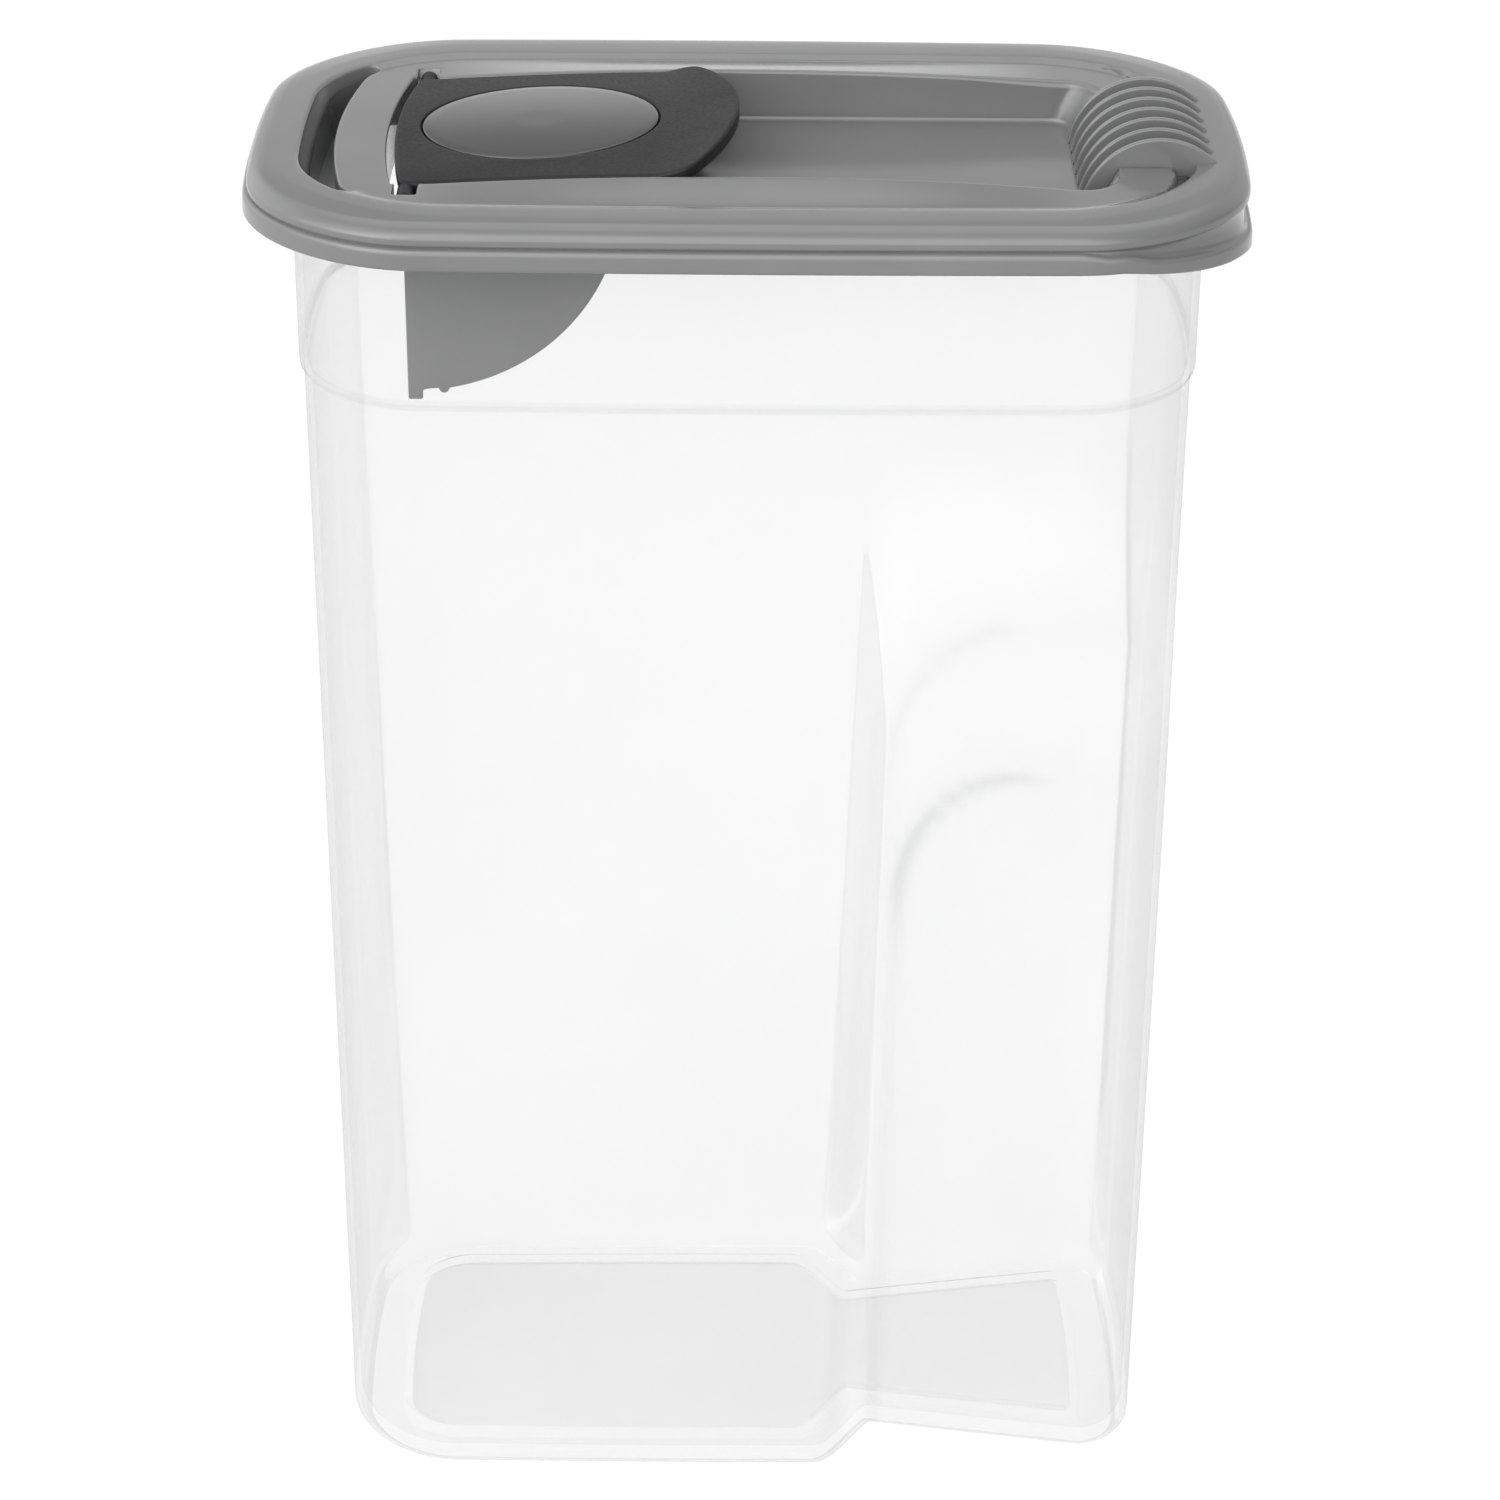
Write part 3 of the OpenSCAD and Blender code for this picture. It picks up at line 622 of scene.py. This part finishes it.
def pocket_loop():
    """Upper edge of the crescent pocket at the left end."""
    near_tip = POCKET_B - 0.4
    outer = [(pocket_outer(y) + 0.2, y) for y in np.linspace(-POCKET_B, POCKET_B, 70)]
    inner = [(tongue_edge(y), y) for y in np.linspace(near_tip, -near_tip, 60)]
    return relaxed(divided(outer + inner, 0.6), 6)


def rolled_edge(loop, radius):
    """Rings from the lid's top face over a rounded edge of a radius at each point, to a vertical wall."""
    steps, support = 6, 0.45
    rings = [[(x, y, lid_top(x, y)) for x, y in shifted(loop, [r + support for r in radius])]]
    for k in range(steps + 1):
        t = QUARTER * k / steps
        line = shifted(loop, [r * (1 - math.sin(t)) for r in radius])
        rings.append([(x, y, lid_top(x, y) - r * (1 - math.cos(t))) for (x, y), r in zip(line, radius)])
    return rings


def plug_ring(inset, z):
    line = bowed(rounded(PLUG_A - inset, PLUG_B - inset, PLUG_R - inset), PLUG_A, PLUG_B)
    return [(x, y, z) for x, y in line]


def low_edge(x):
    """Lower edge of the band, which dips at the pull lip."""
    return 281.7 - 0.18 * max(0.0, x - 69) - 1.2 * max(0.0, (x - 91) / 4.7) ** 2


def high_edge(x):
    """Upper edge of the band, which comes down to the pull lip."""
    if x < 73:
        return max(BAND_Z - 2.2 * smooth((x - 60) / 13), low_edge(x) + 3.2)
    return low_edge(x) + lerp(2.85, 3.3, smooth((x - 73) / 15))


def band(inset, z):
    """Ring round the lid at an inset and a height, each of them a number or a function of x."""
    loop = outline(0)
    line = shifted(loop, [-inset(x) if callable(inset) else -inset for x, y in loop])
    heights = [z(x) if callable(z) else z for x, y in loop]
    return [(x, y, h) for (x, y), h in zip(line, heights)]


def add_skirt(shell):
    """Rim's rounded edge, outer wall and band with the pull lip, then up the inside and the plug."""
    def web(x):
        return smooth((x - 61) / 13)

    def under_rim(x, t):
        return lerp(285.9, high_edge(x), t)

    rings = [[(x, y, lid_top(x, y)) for x, y in outline(EDGE_INSET)]]
    for k in range(0, 8):
        t = QUARTER * k / 7
        rings.append([(x, y, lerp(lid_top(x, y), EDGE_Z, 1 - math.cos(t)))
                      for x, y in outline(3.4 * (1 - math.sin(t)))])
    rings += [band(0.0, 286.6), band(0.06, 286.2)]
    rings.append(band(lambda x: 0.4 + 0.2 * web(x), 285.95))
    rings.append(band(lambda x: 0.42 + 0.55 * web(x), lambda x: under_rim(x, 0.35 * web(x) + 0.1)))
    rings.append(band(lambda x: 0.3 + 0.45 * web(x), lambda x: under_rim(x, 0.55 + 0.3 * web(x))))
    rings.append(band(lambda x: 0.1 + 0.1 * web(x), lambda x: high_edge(x) + 0.05))
    for inset, drop in ((-0.35, 0.08), (-0.65, 0.3), (-0.82, 0.75)):
        rings.append(band(inset, lambda x, drop=drop: high_edge(x) - drop))
    for t in (0.35, 0.6, 0.82):
        rings.append(band(-0.85 - 0.1 * t, lambda x, t=t: lerp(high_edge(x), low_edge(x), t)))
    for inset, rise in ((-0.93, 0.35), (-0.75, 0.08), (-0.4, 0.0), (0.6, 0.0), (1.1, 0.12), (1.5, 0.6)):
        rings.append(band(inset, lambda x, rise=rise: low_edge(x) + rise))
    rings += [band(1.6, 284.2), band(1.6, 287.0), band(2.1, UNDER_Z)]
    for inset, z in ((-0.4, UNDER_Z), (0, 287.1), (0, PLUG_Z + 0.4), (0.4, PLUG_Z), (1.2, PLUG_Z),
                     (PLUG_WALL, PLUG_Z + 0.4), (PLUG_WALL, UNDER_Z)):
        rings.append(plug_ring(inset, z))
    shell.loft(rings)


def well_radius(x):
    """Radius of the well's rolled upper edge: small at the hinge and at the ribs, large at the thumb."""
    if x < -61.5:
        return 0.45
    if x > 69.9:
        return 0.35
    return lerp(0.75, 1.3, smooth((x - 40) / 20))


def add_well(shell):
    """Well with its rolled edge, walls, cove and floor, and the box round it. Gives its top ring."""
    well = well_loop()
    rings = rolled_edge(well, [well_radius(x) for x, y in well])
    foot = [well_floor_point(x, y) for x, y in well]
    cove = [0.9 * smooth((x - POUR_X + 1) / 3.5) for x, y in foot]
    top_z = [p[2] for p in rings[-1]]
    for u in (0.12, 0.25, 0.4, 0.55, 0.7, 0.85, 1.0):
        rings.append([(lerp(p[0], f[0], u), lerp(p[1], f[1], u), lerp(z, WELL_Z + c, u))
                      for p, f, z, c in zip(well, foot, top_z, cove)])
    for k in (1, 2, 3):
        t = QUARTER * k / 3
        line = shifted(foot, [-c * (1 - math.cos(t)) for c in cove])
        rings.append([(x, y, WELL_Z + c * (1 - math.sin(t))) for (x, y), c in zip(line, cove)])
    shell.loft(rings)

    base = [(p[0], p[1]) for p in rings[-1]]
    bar = [(POUR_X, y) for y in np.linspace(-FLOOR_B, FLOOR_B, 21)[1:-1]]
    split = next(i for i, p in enumerate(base) if p[0] > POUR_X + 0.001)
    right_loop = [p for p in base[split - 1:] if p[0] >= POUR_X - 0.001] + bar[::-1]
    left_loop = base[:split] + bar + [p for p in base[split:] if p[0] < POUR_X + 0.001]
    grid = [(x, y) for x in np.arange(-18, 58, 9.0) for y in np.arange(-24, 25, 8.0)]
    shell.fill([right_loop], lambda x, y: WELL_Z, points=grid)
    shell.loft([[(x, y, z) for x, y in left_loop] for z in (WELL_Z, 280.1, BOX_Z)])
    front = [(x, -BOX_B) for x in BOX_X]
    box = divided(front + [(x, -y) for x, y in reversed(front)], 6)
    shell.fill([box, left_loop], lambda x, y: BOX_Z)
    shell.loft([[(x, y, z) for x, y in box] for z in (BOX_Z, UNDER_Z)])
    plug = [(p[0], p[1]) for p in plug_ring(PLUG_WALL, UNDER_Z)]
    plate = [(max(x, tongue_edge(y) + 1.1) if x < 0 and abs(y) < 36 else x, y)
             for x, y in divided(plug, 2.0)]
    shell.fill([plate, box], lambda x, y: UNDER_Z)
    return rings[0]


def add_pocket(shell):
    """Pocket whose mouth leans in from the rim to the plug's wall. Gives its top ring."""
    pocket = pocket_loop()
    rings = rolled_edge(pocket, [0.7] * len(pocket))
    deep = [(max(x, plug_inside(y) + 0.1), y) for x, y in pocket]
    for lean, z in ((0.25, 288.4), (0.5, 287.6), (0.8, 286.6), (1.0, 285.6), (1.0, 282.0), (1.0, POCKET_Z)):
        rings.append([(lerp(x, to[0], lean), y, z) for (x, y), to in zip(pocket, deep)])
    shell.loft(rings)
    shell.fill([shifted(deep, 0.05)], lambda x, y: POCKET_Z + 0.1)
    under = shifted(deep, 1.1)
    below = POCKET_Z - 1.4
    shell.loft([[(x, y, z) for x, y in under] for z in (UNDER_Z, below)])
    shell.fill([under], lambda x, y: below)
    return rings[0]


def runs(line, keep):
    """The stretches of a closed line whose points are all kept."""
    out, run = [], []
    for p, good in zip(line + line[:1], list(keep) + [keep[0]]):
        if good:
            run.append(p)
        elif run:
            out.append(run)
            run = []
    return out + [run] if run else out


def add_top_face(shell, well_ring, pocket_ring):
    """Top face between the rim's outer edge, the well and the pocket, with lines along the rim."""
    edge = outline(EDGE_INSET)
    well_edge = [(p[0], p[1]) for p in well_ring]
    pocket_edge = [(p[0], p[1]) for p in pocket_ring]
    near = shifted(well_edge, 0.5), shifted(pocket_edge, 0.5)
    chains, points = [], []
    for inset in (-5.4, -4.0, -2.6, -1.4, -0.6, -0.15, 0.3, 0.8, 1.4, 2.0, 2.6, 3.2, 3.9, 5.2):
        line = bowed(rounded(RIM_A - inset, RIM_B - inset, RIM_R - inset, 24, 44, 12), RIM_A, RIM_B)
        spots = np.array(line)
        keep = inside(spots, [shifted(edge, -0.5)]) & ~inside(spots, near)
        chains += runs(line, keep)
    for inset in (-0.5, 0.1, 0.7, 1.4):
        tip = bowed(rounded(TIP_A - inset, RIM_B - inset, TIP_R - inset, 24, 44, 20), RIM_A, RIM_B)
        points += [p for p in tip if p[0] > 71 and rim_inset(*p) > 1.2]
    points += [(x, y) for x in np.arange(-78, 80, 3.5) for y in np.arange(-40.5, 41, 2.7)
               if rim_inset(x, y) > 6.5]
    points = np.array(points)
    keep = ~inside(points, near)
    shell.fill([edge, well_edge, pocket_edge], lid_top, chains, points[keep])


def add_thumb_ribs(shell):
    """Thin arched fins across the scoop."""
    turns = np.linspace(-1.5, 0.835, 49)
    centre, top = RIB_CENTRE
    low = []
    for t in turns:
        out, up = RIB_R * math.sin(t), RIB_R * math.cos(t)
        sunk = min(top - 0.5 + up, lerp(RIB_FOOT, 287.2, smooth((out + 13) / 13)))
        low.append((centre + out, RIB_FOOT if math.sin(t) < -0.9 else sunk))
    front = [(-RIB_HALF, RIB_R - 0.35), (0.05 - RIB_HALF, RIB_R - 0.12), (0.23 - RIB_HALF, RIB_R)]
    arch = front + [(-dy, r) for dy, r in reversed(front)]
    for k in range(RIB_COUNT):
        y = (k - RIB_COUNT // 2) * RIB_PITCH
        rings = [[(x, y - RIB_HALF, z) for x, z in low]]
        for dy, r in arch:
            rings.append([(centre + r * math.sin(t), y + dy, top + r * math.cos(t)) for t in turns])
        rings.append([(x, y + RIB_HALF, z) for x, z in low])
        shell.loft(rings, closed=False)


def make_lid():
    shell = Shell()
    add_skirt(shell)
    well_ring = add_well(shell)
    pocket_ring = add_pocket(shell)
    add_top_face(shell, well_ring, pocket_ring)
    add_thumb_ribs(shell)
    return shell.build("lid_moulded", mat_lid)


lid = make_lid()
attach(lid, "lid")
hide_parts("lid")


# ---------------------------------------------------------------- spout
COVER_B = 30.1                              # half width of the cover
COVER_LEFT, COVER_TIP = -68.1, -1.9         # middle of its left end, and the tip of its tab
TAB_ROOT = -17.3                            # where the tab starts to rise
COVER_THICK = 1.8                           # cover under the crown, down to the chute
BADGE = (-40.3, 22.8, 20.6)                 # x of the badge's centre, its half length and half width
BADGE_DEEP = 0.95                           # floor of the badge's seat
CHEEK_R = 40.5
CHEEK_OUTER, CHEEK_WALL = 29.4, 1.5
CHUTE_PLATE = (-61.9, -25.2)                # left and right end of the plate that joins the cheeks
BARREL_SIDES = 40


def tab_rise(x):
    """How far the tab has risen at x: 0 at its root, 1 at its tip."""
    return max(0.0, (x - TAB_ROOT) / (COVER_TIP - TAB_ROOT)) ** 1.15


def cover_dome(x, y):
    """Bulge of the cover across its width, which fades out on the tab."""
    return 1.1 * max(0.0, 1 - (y / COVER_B) ** 2) * smooth((-x - 4) / 16)


def cover_top(x, y):
    """Top of the cover: it follows the lid's crown, then rises to the tip of the tab."""
    return crown(x) + cover_dome(x, y) + 4.1 * tab_rise(x)


def cover_bottom(x, y):
    """Underside of the cover, which has no dome and rises less at the tab."""
    return crown(x) - COVER_THICK + 2.7 * tab_rise(x)


def cover_loop():
    """Outline of the cover: bowed left end, straight sides and a rounded tab."""
    tip_r, corner = 54.0, 5.0
    centre = COVER_TIP - tip_r
    reach, side = tip_r - corner, COVER_B - corner
    middle = centre + math.sqrt(reach ** 2 - side ** 2)
    turn = math.asin(side / reach)
    side_end = -65.54
    half = [(centre + tip_r * math.cos(t), tip_r * math.sin(t)) for t in np.linspace(0, turn, 26)]
    half += [(middle + corner * math.cos(t), side + corner * math.sin(t))
             for t in np.linspace(turn, QUARTER, 9)[1:]]
    half += [(lerp(middle, side_end, k / 50), COVER_B) for k in range(1, 50)]
    half += [(COVER_LEFT + y * y / END_CURVE, y) for y in np.linspace(COVER_B, 0, 24)]
    return relaxed(half + [(x, -y) for x, y in reversed(half[1:-1])], 2)


def oval(grow):
    """Outline of the badge, grown outwards."""
    centre, half_long, half_wide = BADGE
    return [(centre + (half_long + grow) * math.cos(t), (half_wide + grow) * math.sin(t))
            for t in np.linspace(0, 4 * QUARTER, 120, endpoint=False)]


def add_barrel(shell):
    """Hinge barrel with rounded ends."""
    end = ((35.6, 1.1), (35.45, 1.45), (35.1, 1.65), (34.7, 1.7))
    stations = [(-y, r) for y, r in end] + list(end[::-1])
    turns = np.linspace(0, 4 * QUARTER, BARREL_SIDES, endpoint=False)
    ids = shell.loft([[(HINGE[0] + r * math.cos(t), y, HINGE[1] + r * math.sin(t)) for t in turns]
                      for y, r in stations])
    shell.faces += [tuple(ids[0]), tuple(ids[-1])]


def make_cover():
    shell = Shell()
    loop = cover_loop()
    rings = []
    for inset, drop in ((1.1, 0.0), (0.65, 0.0), (0.4, 0.06), (0.2, 0.2), (0.06, 0.42), (0.0, 0.65)):
        rings.append([(x, y, cover_top(x, y) - drop) for x, y in shifted(loop, -inset)])
    for inset, rise in ((0.0, 0.3), (0.1, 0.1), (0.35, 0.0), (0.9, 0.0)):
        rings.append([(x, y, cover_bottom(x, y) + rise) for x, y in shifted(loop, -inset)])
    shell.loft(rings)

    # Top face with the seat of the badge sunk into it, and the underside.
    seat = ((0.9, 0.0), (0.62, 0.03), (0.42, 0.15), (0.32, 0.4), (0.3, 0.9), (-0.6, BADGE_DEEP))
    upper, under = ([(p[0], p[1]) for p in ring] for ring in (rings[0], rings[-1]))
    grid = np.array([(x, y) for x in np.arange(-66, -2, 1.6) for y in np.arange(-28, 28.1, 2.0)])
    keep = inside(grid, [shifted(upper, -0.7)]) & ~inside(grid, [oval(1.4)])
    shell.fill([upper, oval(seat[0][0])], cover_top, points=grid[keep])
    shell.loft([[(x, y, cover_top(x, y) - deep) for x, y in oval(grow)] for grow, deep in seat])
    shell.fill([oval(seat[-1][0])], lambda x, y: cover_top(x, y) - BADGE_DEEP)
    shell.fill([under], cover_bottom, points=grid[inside(grid, [shifted(under, -0.7)])])
    add_barrel(shell)
    return shell.build("spout_cover_soft", mat_cover)


def make_badge():
    """Oval inlay: a rounded edge, then a shallow dome up to its middle."""
    shell = Shell()
    edge, lift = -0.35, 0.02
    rings = []
    for grow, rise in ((-0.5, -0.85), (-0.02, -0.85), (0.0, -0.3), (-0.1, -0.1), (edge, lift)):
        rings.append([(x, y, cover_top(x, y) + rise) for x, y in oval(grow)])
    for share in (0.9, 0.75, 0.6, 0.45, 0.3, 0.15):
        rise = lift + 0.2 * (1 - share ** 2)
        ring = [(BADGE[0] + (x - BADGE[0]) * share, y * share) for x, y in oval(edge)]
        rings.append([(x, y, cover_top(x, y) + rise) for x, y in ring])
    ids = shell.loft(rings)
    shell.faces += [tuple(ids[0]), tuple(ids[-1])]
    return shell.build("badge_oval", mat_badge)


def cheek_outline():
    """Quarter-round cheek with its stop foot and its detent bump, round the hinge's axis."""
    pts = [(x, crown(HINGE[0] + x) - COVER_THICK - HINGE[1]) for x in np.linspace(-1.0, CHEEK_R - 0.1, 12)]
    pts.append((CHEEK_R, 0.0))
    arc = [math.radians(deg) for deg in np.arange(1.5, 80.2, 1.5)]
    pts += [(CHEEK_R * math.cos(t), -CHEEK_R * math.sin(t)) for t in arc]
    bump_x, bump_z, bump_r = 5.9, -39.5, 1.15
    for t in (math.radians(deg) for deg in np.linspace(200, -20, 9)):
        pts.append((bump_x - bump_r * math.cos(t), bump_z - bump_r * abs(math.sin(t)) * 1.3))
    pts += [(3.4, -40.1), (2.2, -40.3), (1.8, -40.6)]
    pts += [(1.8, -42.0), (1.5, -42.3), (-0.8, -42.3), (-1.0, -42.1)]
    return divided(pts, 4)


def add_side(shell, ring):
    """Flat face that closes a ring standing at one y."""
    flat = Shell()
    flat.fill([[(shell.points[i][0], shell.points[i][2]) for i in ring]], lambda x, z: 0.0)
    y = shell.points[ring[0]][1]
    start = shell.ring([(x, y, z) for x, z, _ in flat.points])[0]
    shell.faces += [tuple(i + start for i in f) for f in flat.faces]


def make_chute():
    """Two cheeks and the plate between them, with softly broken edges."""
    shell = Shell()
    line = cheek_outline()
    for side in (-1, 1):
        outer, inner = side * CHEEK_OUTER, side * (CHEEK_OUTER - CHEEK_WALL)
        rings = []
        for inset, y in ((0.5, outer), (0.3, outer), (0.08, outer - side * 0.1), (0, outer - side * 0.35),
                         (0, inner + side * 0.35), (0.08, inner + side * 0.1), (0.3, inner), (0.5, inner)):
            rings.append([(HINGE[0] + x, y, HINGE[1] + z) for x, z in shifted(line, -inset)])
        ids = shell.loft(rings)
        add_side(shell, ids[0])
        add_side(shell, ids[-1])
    left, right = CHUTE_PLATE
    front = [(left, -CHEEK_OUTER), (right, -CHEEK_OUTER)]
    plate = divided(front + [(x, -y) for x, y in reversed(front)], 6)
    stations = ((0.5, 1.8), (0.1, 1.9), (0, 2.2), (0, 2.9), (0.1, 3.2), (0.5, 3.3))
    rings = [[(x, y, crown(x) - deep) for x, y in shifted(plate, -inset)] for inset, deep in stations]
    shell.loft(rings)
    grid = [(x, y) for x in np.arange(-58, -27, 4.0) for y in np.arange(-24, 25, 8.0)]
    for ring, (_, deep) in ((rings[0], stations[0]), (rings[-1], stations[-1])):
        shell.fill([[(p[0], p[1]) for p in ring]], lambda x, y, deep=deep: crown(x) - deep, points=grid)
    return shell.build("chute_grey", mat_chute)


cover = make_cover()
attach(cover, "spout")
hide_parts("spout_cover")
badge = make_badge()
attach(badge, "spout")
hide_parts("badge")
chute = make_chute()
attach(chute, "spout")
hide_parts("spout_chute")

for piece in (container, lid, cover, badge, chute):
    weighted = piece.modifiers.new("even_normals", "WEIGHTED_NORMAL")
    weighted.mode = "FACE_AREA_WITH_ANGLE"
    weighted.weight = 60

# ---------------------------------------------------------------- floor and light
FLOOR = 12.0                                # half width of the floor, in metres
FLOOR_TONE, FLOOR_GLOW = 0.12, 0.86
BASE_LIGHT = 0.72

# Soft patches of light: direction, angles in degrees where it ends and where it is full, strength.
PATCHES = (
    ((-0.62, -0.42, 0.66), 42, 16, 1.4),    # key light, high at the front left
    ((0.05, 0.5, 0.87), 30, 14, 1.0),       # overhead
    ((-0.15, -0.95, 0.3), 62, 25, 2.5),     # broad fill from the front, for the band under the rim
    ((-0.85, -0.5, 0.2), 46, 18, 1.2),      # low at the left
    ((0.0, 1.0, 0.1), 20, 6, 0.5),          # low behind
    ((0.0, 1.0, 0.6), 24, 8, -0.2),         # a duller field behind, higher up
    ((-0.75, 0.6, 0.3), 34, 14, 0.7),       # behind at the left
    ((0.7, 0.7, 0.3), 26, 10, 0.25),        # behind at the right
    ((0.9, -0.35, 0.15), 65, 25, -0.35),    # the right side is duller
)

floor_mesh = bpy.data.meshes.new("floor")
corners = [(-FLOOR, -FLOOR, 0), (FLOOR, -FLOOR, 0), (FLOOR, FLOOR, 0), (-FLOOR, FLOOR, 0)]
floor_mesh.from_pydata(corners, [], [(0, 1, 2, 3)])
floor = bpy.data.objects.new("floor", floor_mesh)
bpy.context.scene.collection.objects.link(floor)
mat_floor, tree, out = new_material("pale_floor")
diffuse = tree.nodes.new("ShaderNodeBsdfDiffuse")
diffuse.inputs["Color"].default_value = (FLOOR_TONE, FLOOR_TONE, FLOOR_TONE, 1)
glow = tree.nodes.new("ShaderNodeEmission")
glow.inputs["Color"].default_value = (1, 1, 1, 1)
glow.inputs["Strength"].default_value = FLOOR_GLOW
both = tree.nodes.new("ShaderNodeAddShader")
tree.links.new(diffuse.outputs["BSDF"], both.inputs[0])
tree.links.new(glow.outputs["Emission"], both.inputs[1])
tree.links.new(both.outputs["Shader"], out.inputs["Surface"])
floor.data.materials.append(mat_floor)

world = bpy.data.worlds.new("studio")
world.use_nodes = True
sky = world.node_tree
ground = sky.nodes["Background"]
direction = sky.nodes.new("ShaderNodeTexCoord")


def glow_patch(towards, wide, narrow, strength):
    """Soft round patch of light in the studio's surroundings, brightest within the narrow angle."""
    dot = sky.nodes.new("ShaderNodeVectorMath")
    dot.operation = "DOT_PRODUCT"
    dot.inputs[1].default_value = Vector(towards).normalized()
    sky.links.new(direction.outputs["Generated"], dot.inputs[0])
    edge = sky.nodes.new("ShaderNodeMapRange")
    edge.interpolation_type = "SMOOTHSTEP"
    edge.inputs["From Min"].default_value = math.cos(math.radians(wide))
    edge.inputs["From Max"].default_value = math.cos(math.radians(narrow))
    edge.inputs["To Min"].default_value = 0.0
    edge.inputs["To Max"].default_value = strength
    sky.links.new(dot.outputs["Value"], edge.inputs["Value"])
    return edge.outputs["Result"]


level = BASE_LIGHT
for patch in PATCHES:
    level = arithmetic(sky, "ADD", level, glow_patch(*patch))
sky.links.new(level, ground.inputs["Strength"])
ground.inputs["Color"].default_value = (1, 1, 1, 1)
bpy.context.scene.world = world
bpy.context.scene.view_settings.view_transform = "Standard"

# ---------------------------------------------------------------- camera
# Fitted to the photograph: 28 degrees down, turned and rolled a little.
PHOTO_WIDTH, FOCAL = 1500.0, 4098.0         # in pixels of the photograph
CENTRE_X, CENTRE_Y = 795.2, 755.6           # where the optical axis meets the photograph, in pixels
SENSOR = 36.0
PITCH, YAW, ROLL = 0.4887, -0.0162, 0.0129  # in radians
PLACE = (-1.82, -757.2, 555.0)              # in millimetres

upwards = Vector((0, 0, 1))
level_right = Vector((math.cos(YAW), math.sin(YAW), 0))
ahead = Vector((-math.sin(YAW), math.cos(YAW), 0))
forward = math.cos(PITCH) * ahead - math.sin(PITCH) * upwards
level_up = math.sin(PITCH) * ahead + math.cos(PITCH) * upwards
right = math.cos(ROLL) * level_right + math.sin(ROLL) * level_up
up = math.cos(ROLL) * level_up - math.sin(ROLL) * level_right
camera_data = bpy.data.cameras.new("camera")
camera_data.sensor_width = SENSOR
camera_data.sensor_fit = "HORIZONTAL"
camera_data.lens = SENSOR * FOCAL / PHOTO_WIDTH
camera_data.shift_x = (PHOTO_WIDTH / 2 - CENTRE_X) / PHOTO_WIDTH
camera_data.shift_y = (CENTRE_Y - PHOTO_WIDTH / 2) / PHOTO_WIDTH
camera_data.clip_start = 0.01
camera_data.clip_end = 60
camera = bpy.data.objects.new("camera", camera_data)
turn = Matrix((right, up, -forward)).transposed().to_4x4()
camera.matrix_world = Matrix.Translation(Vector(PLACE) * MM) @ turn
bpy.context.scene.collection.objects.link(camera)
bpy.context.scene.camera = camera
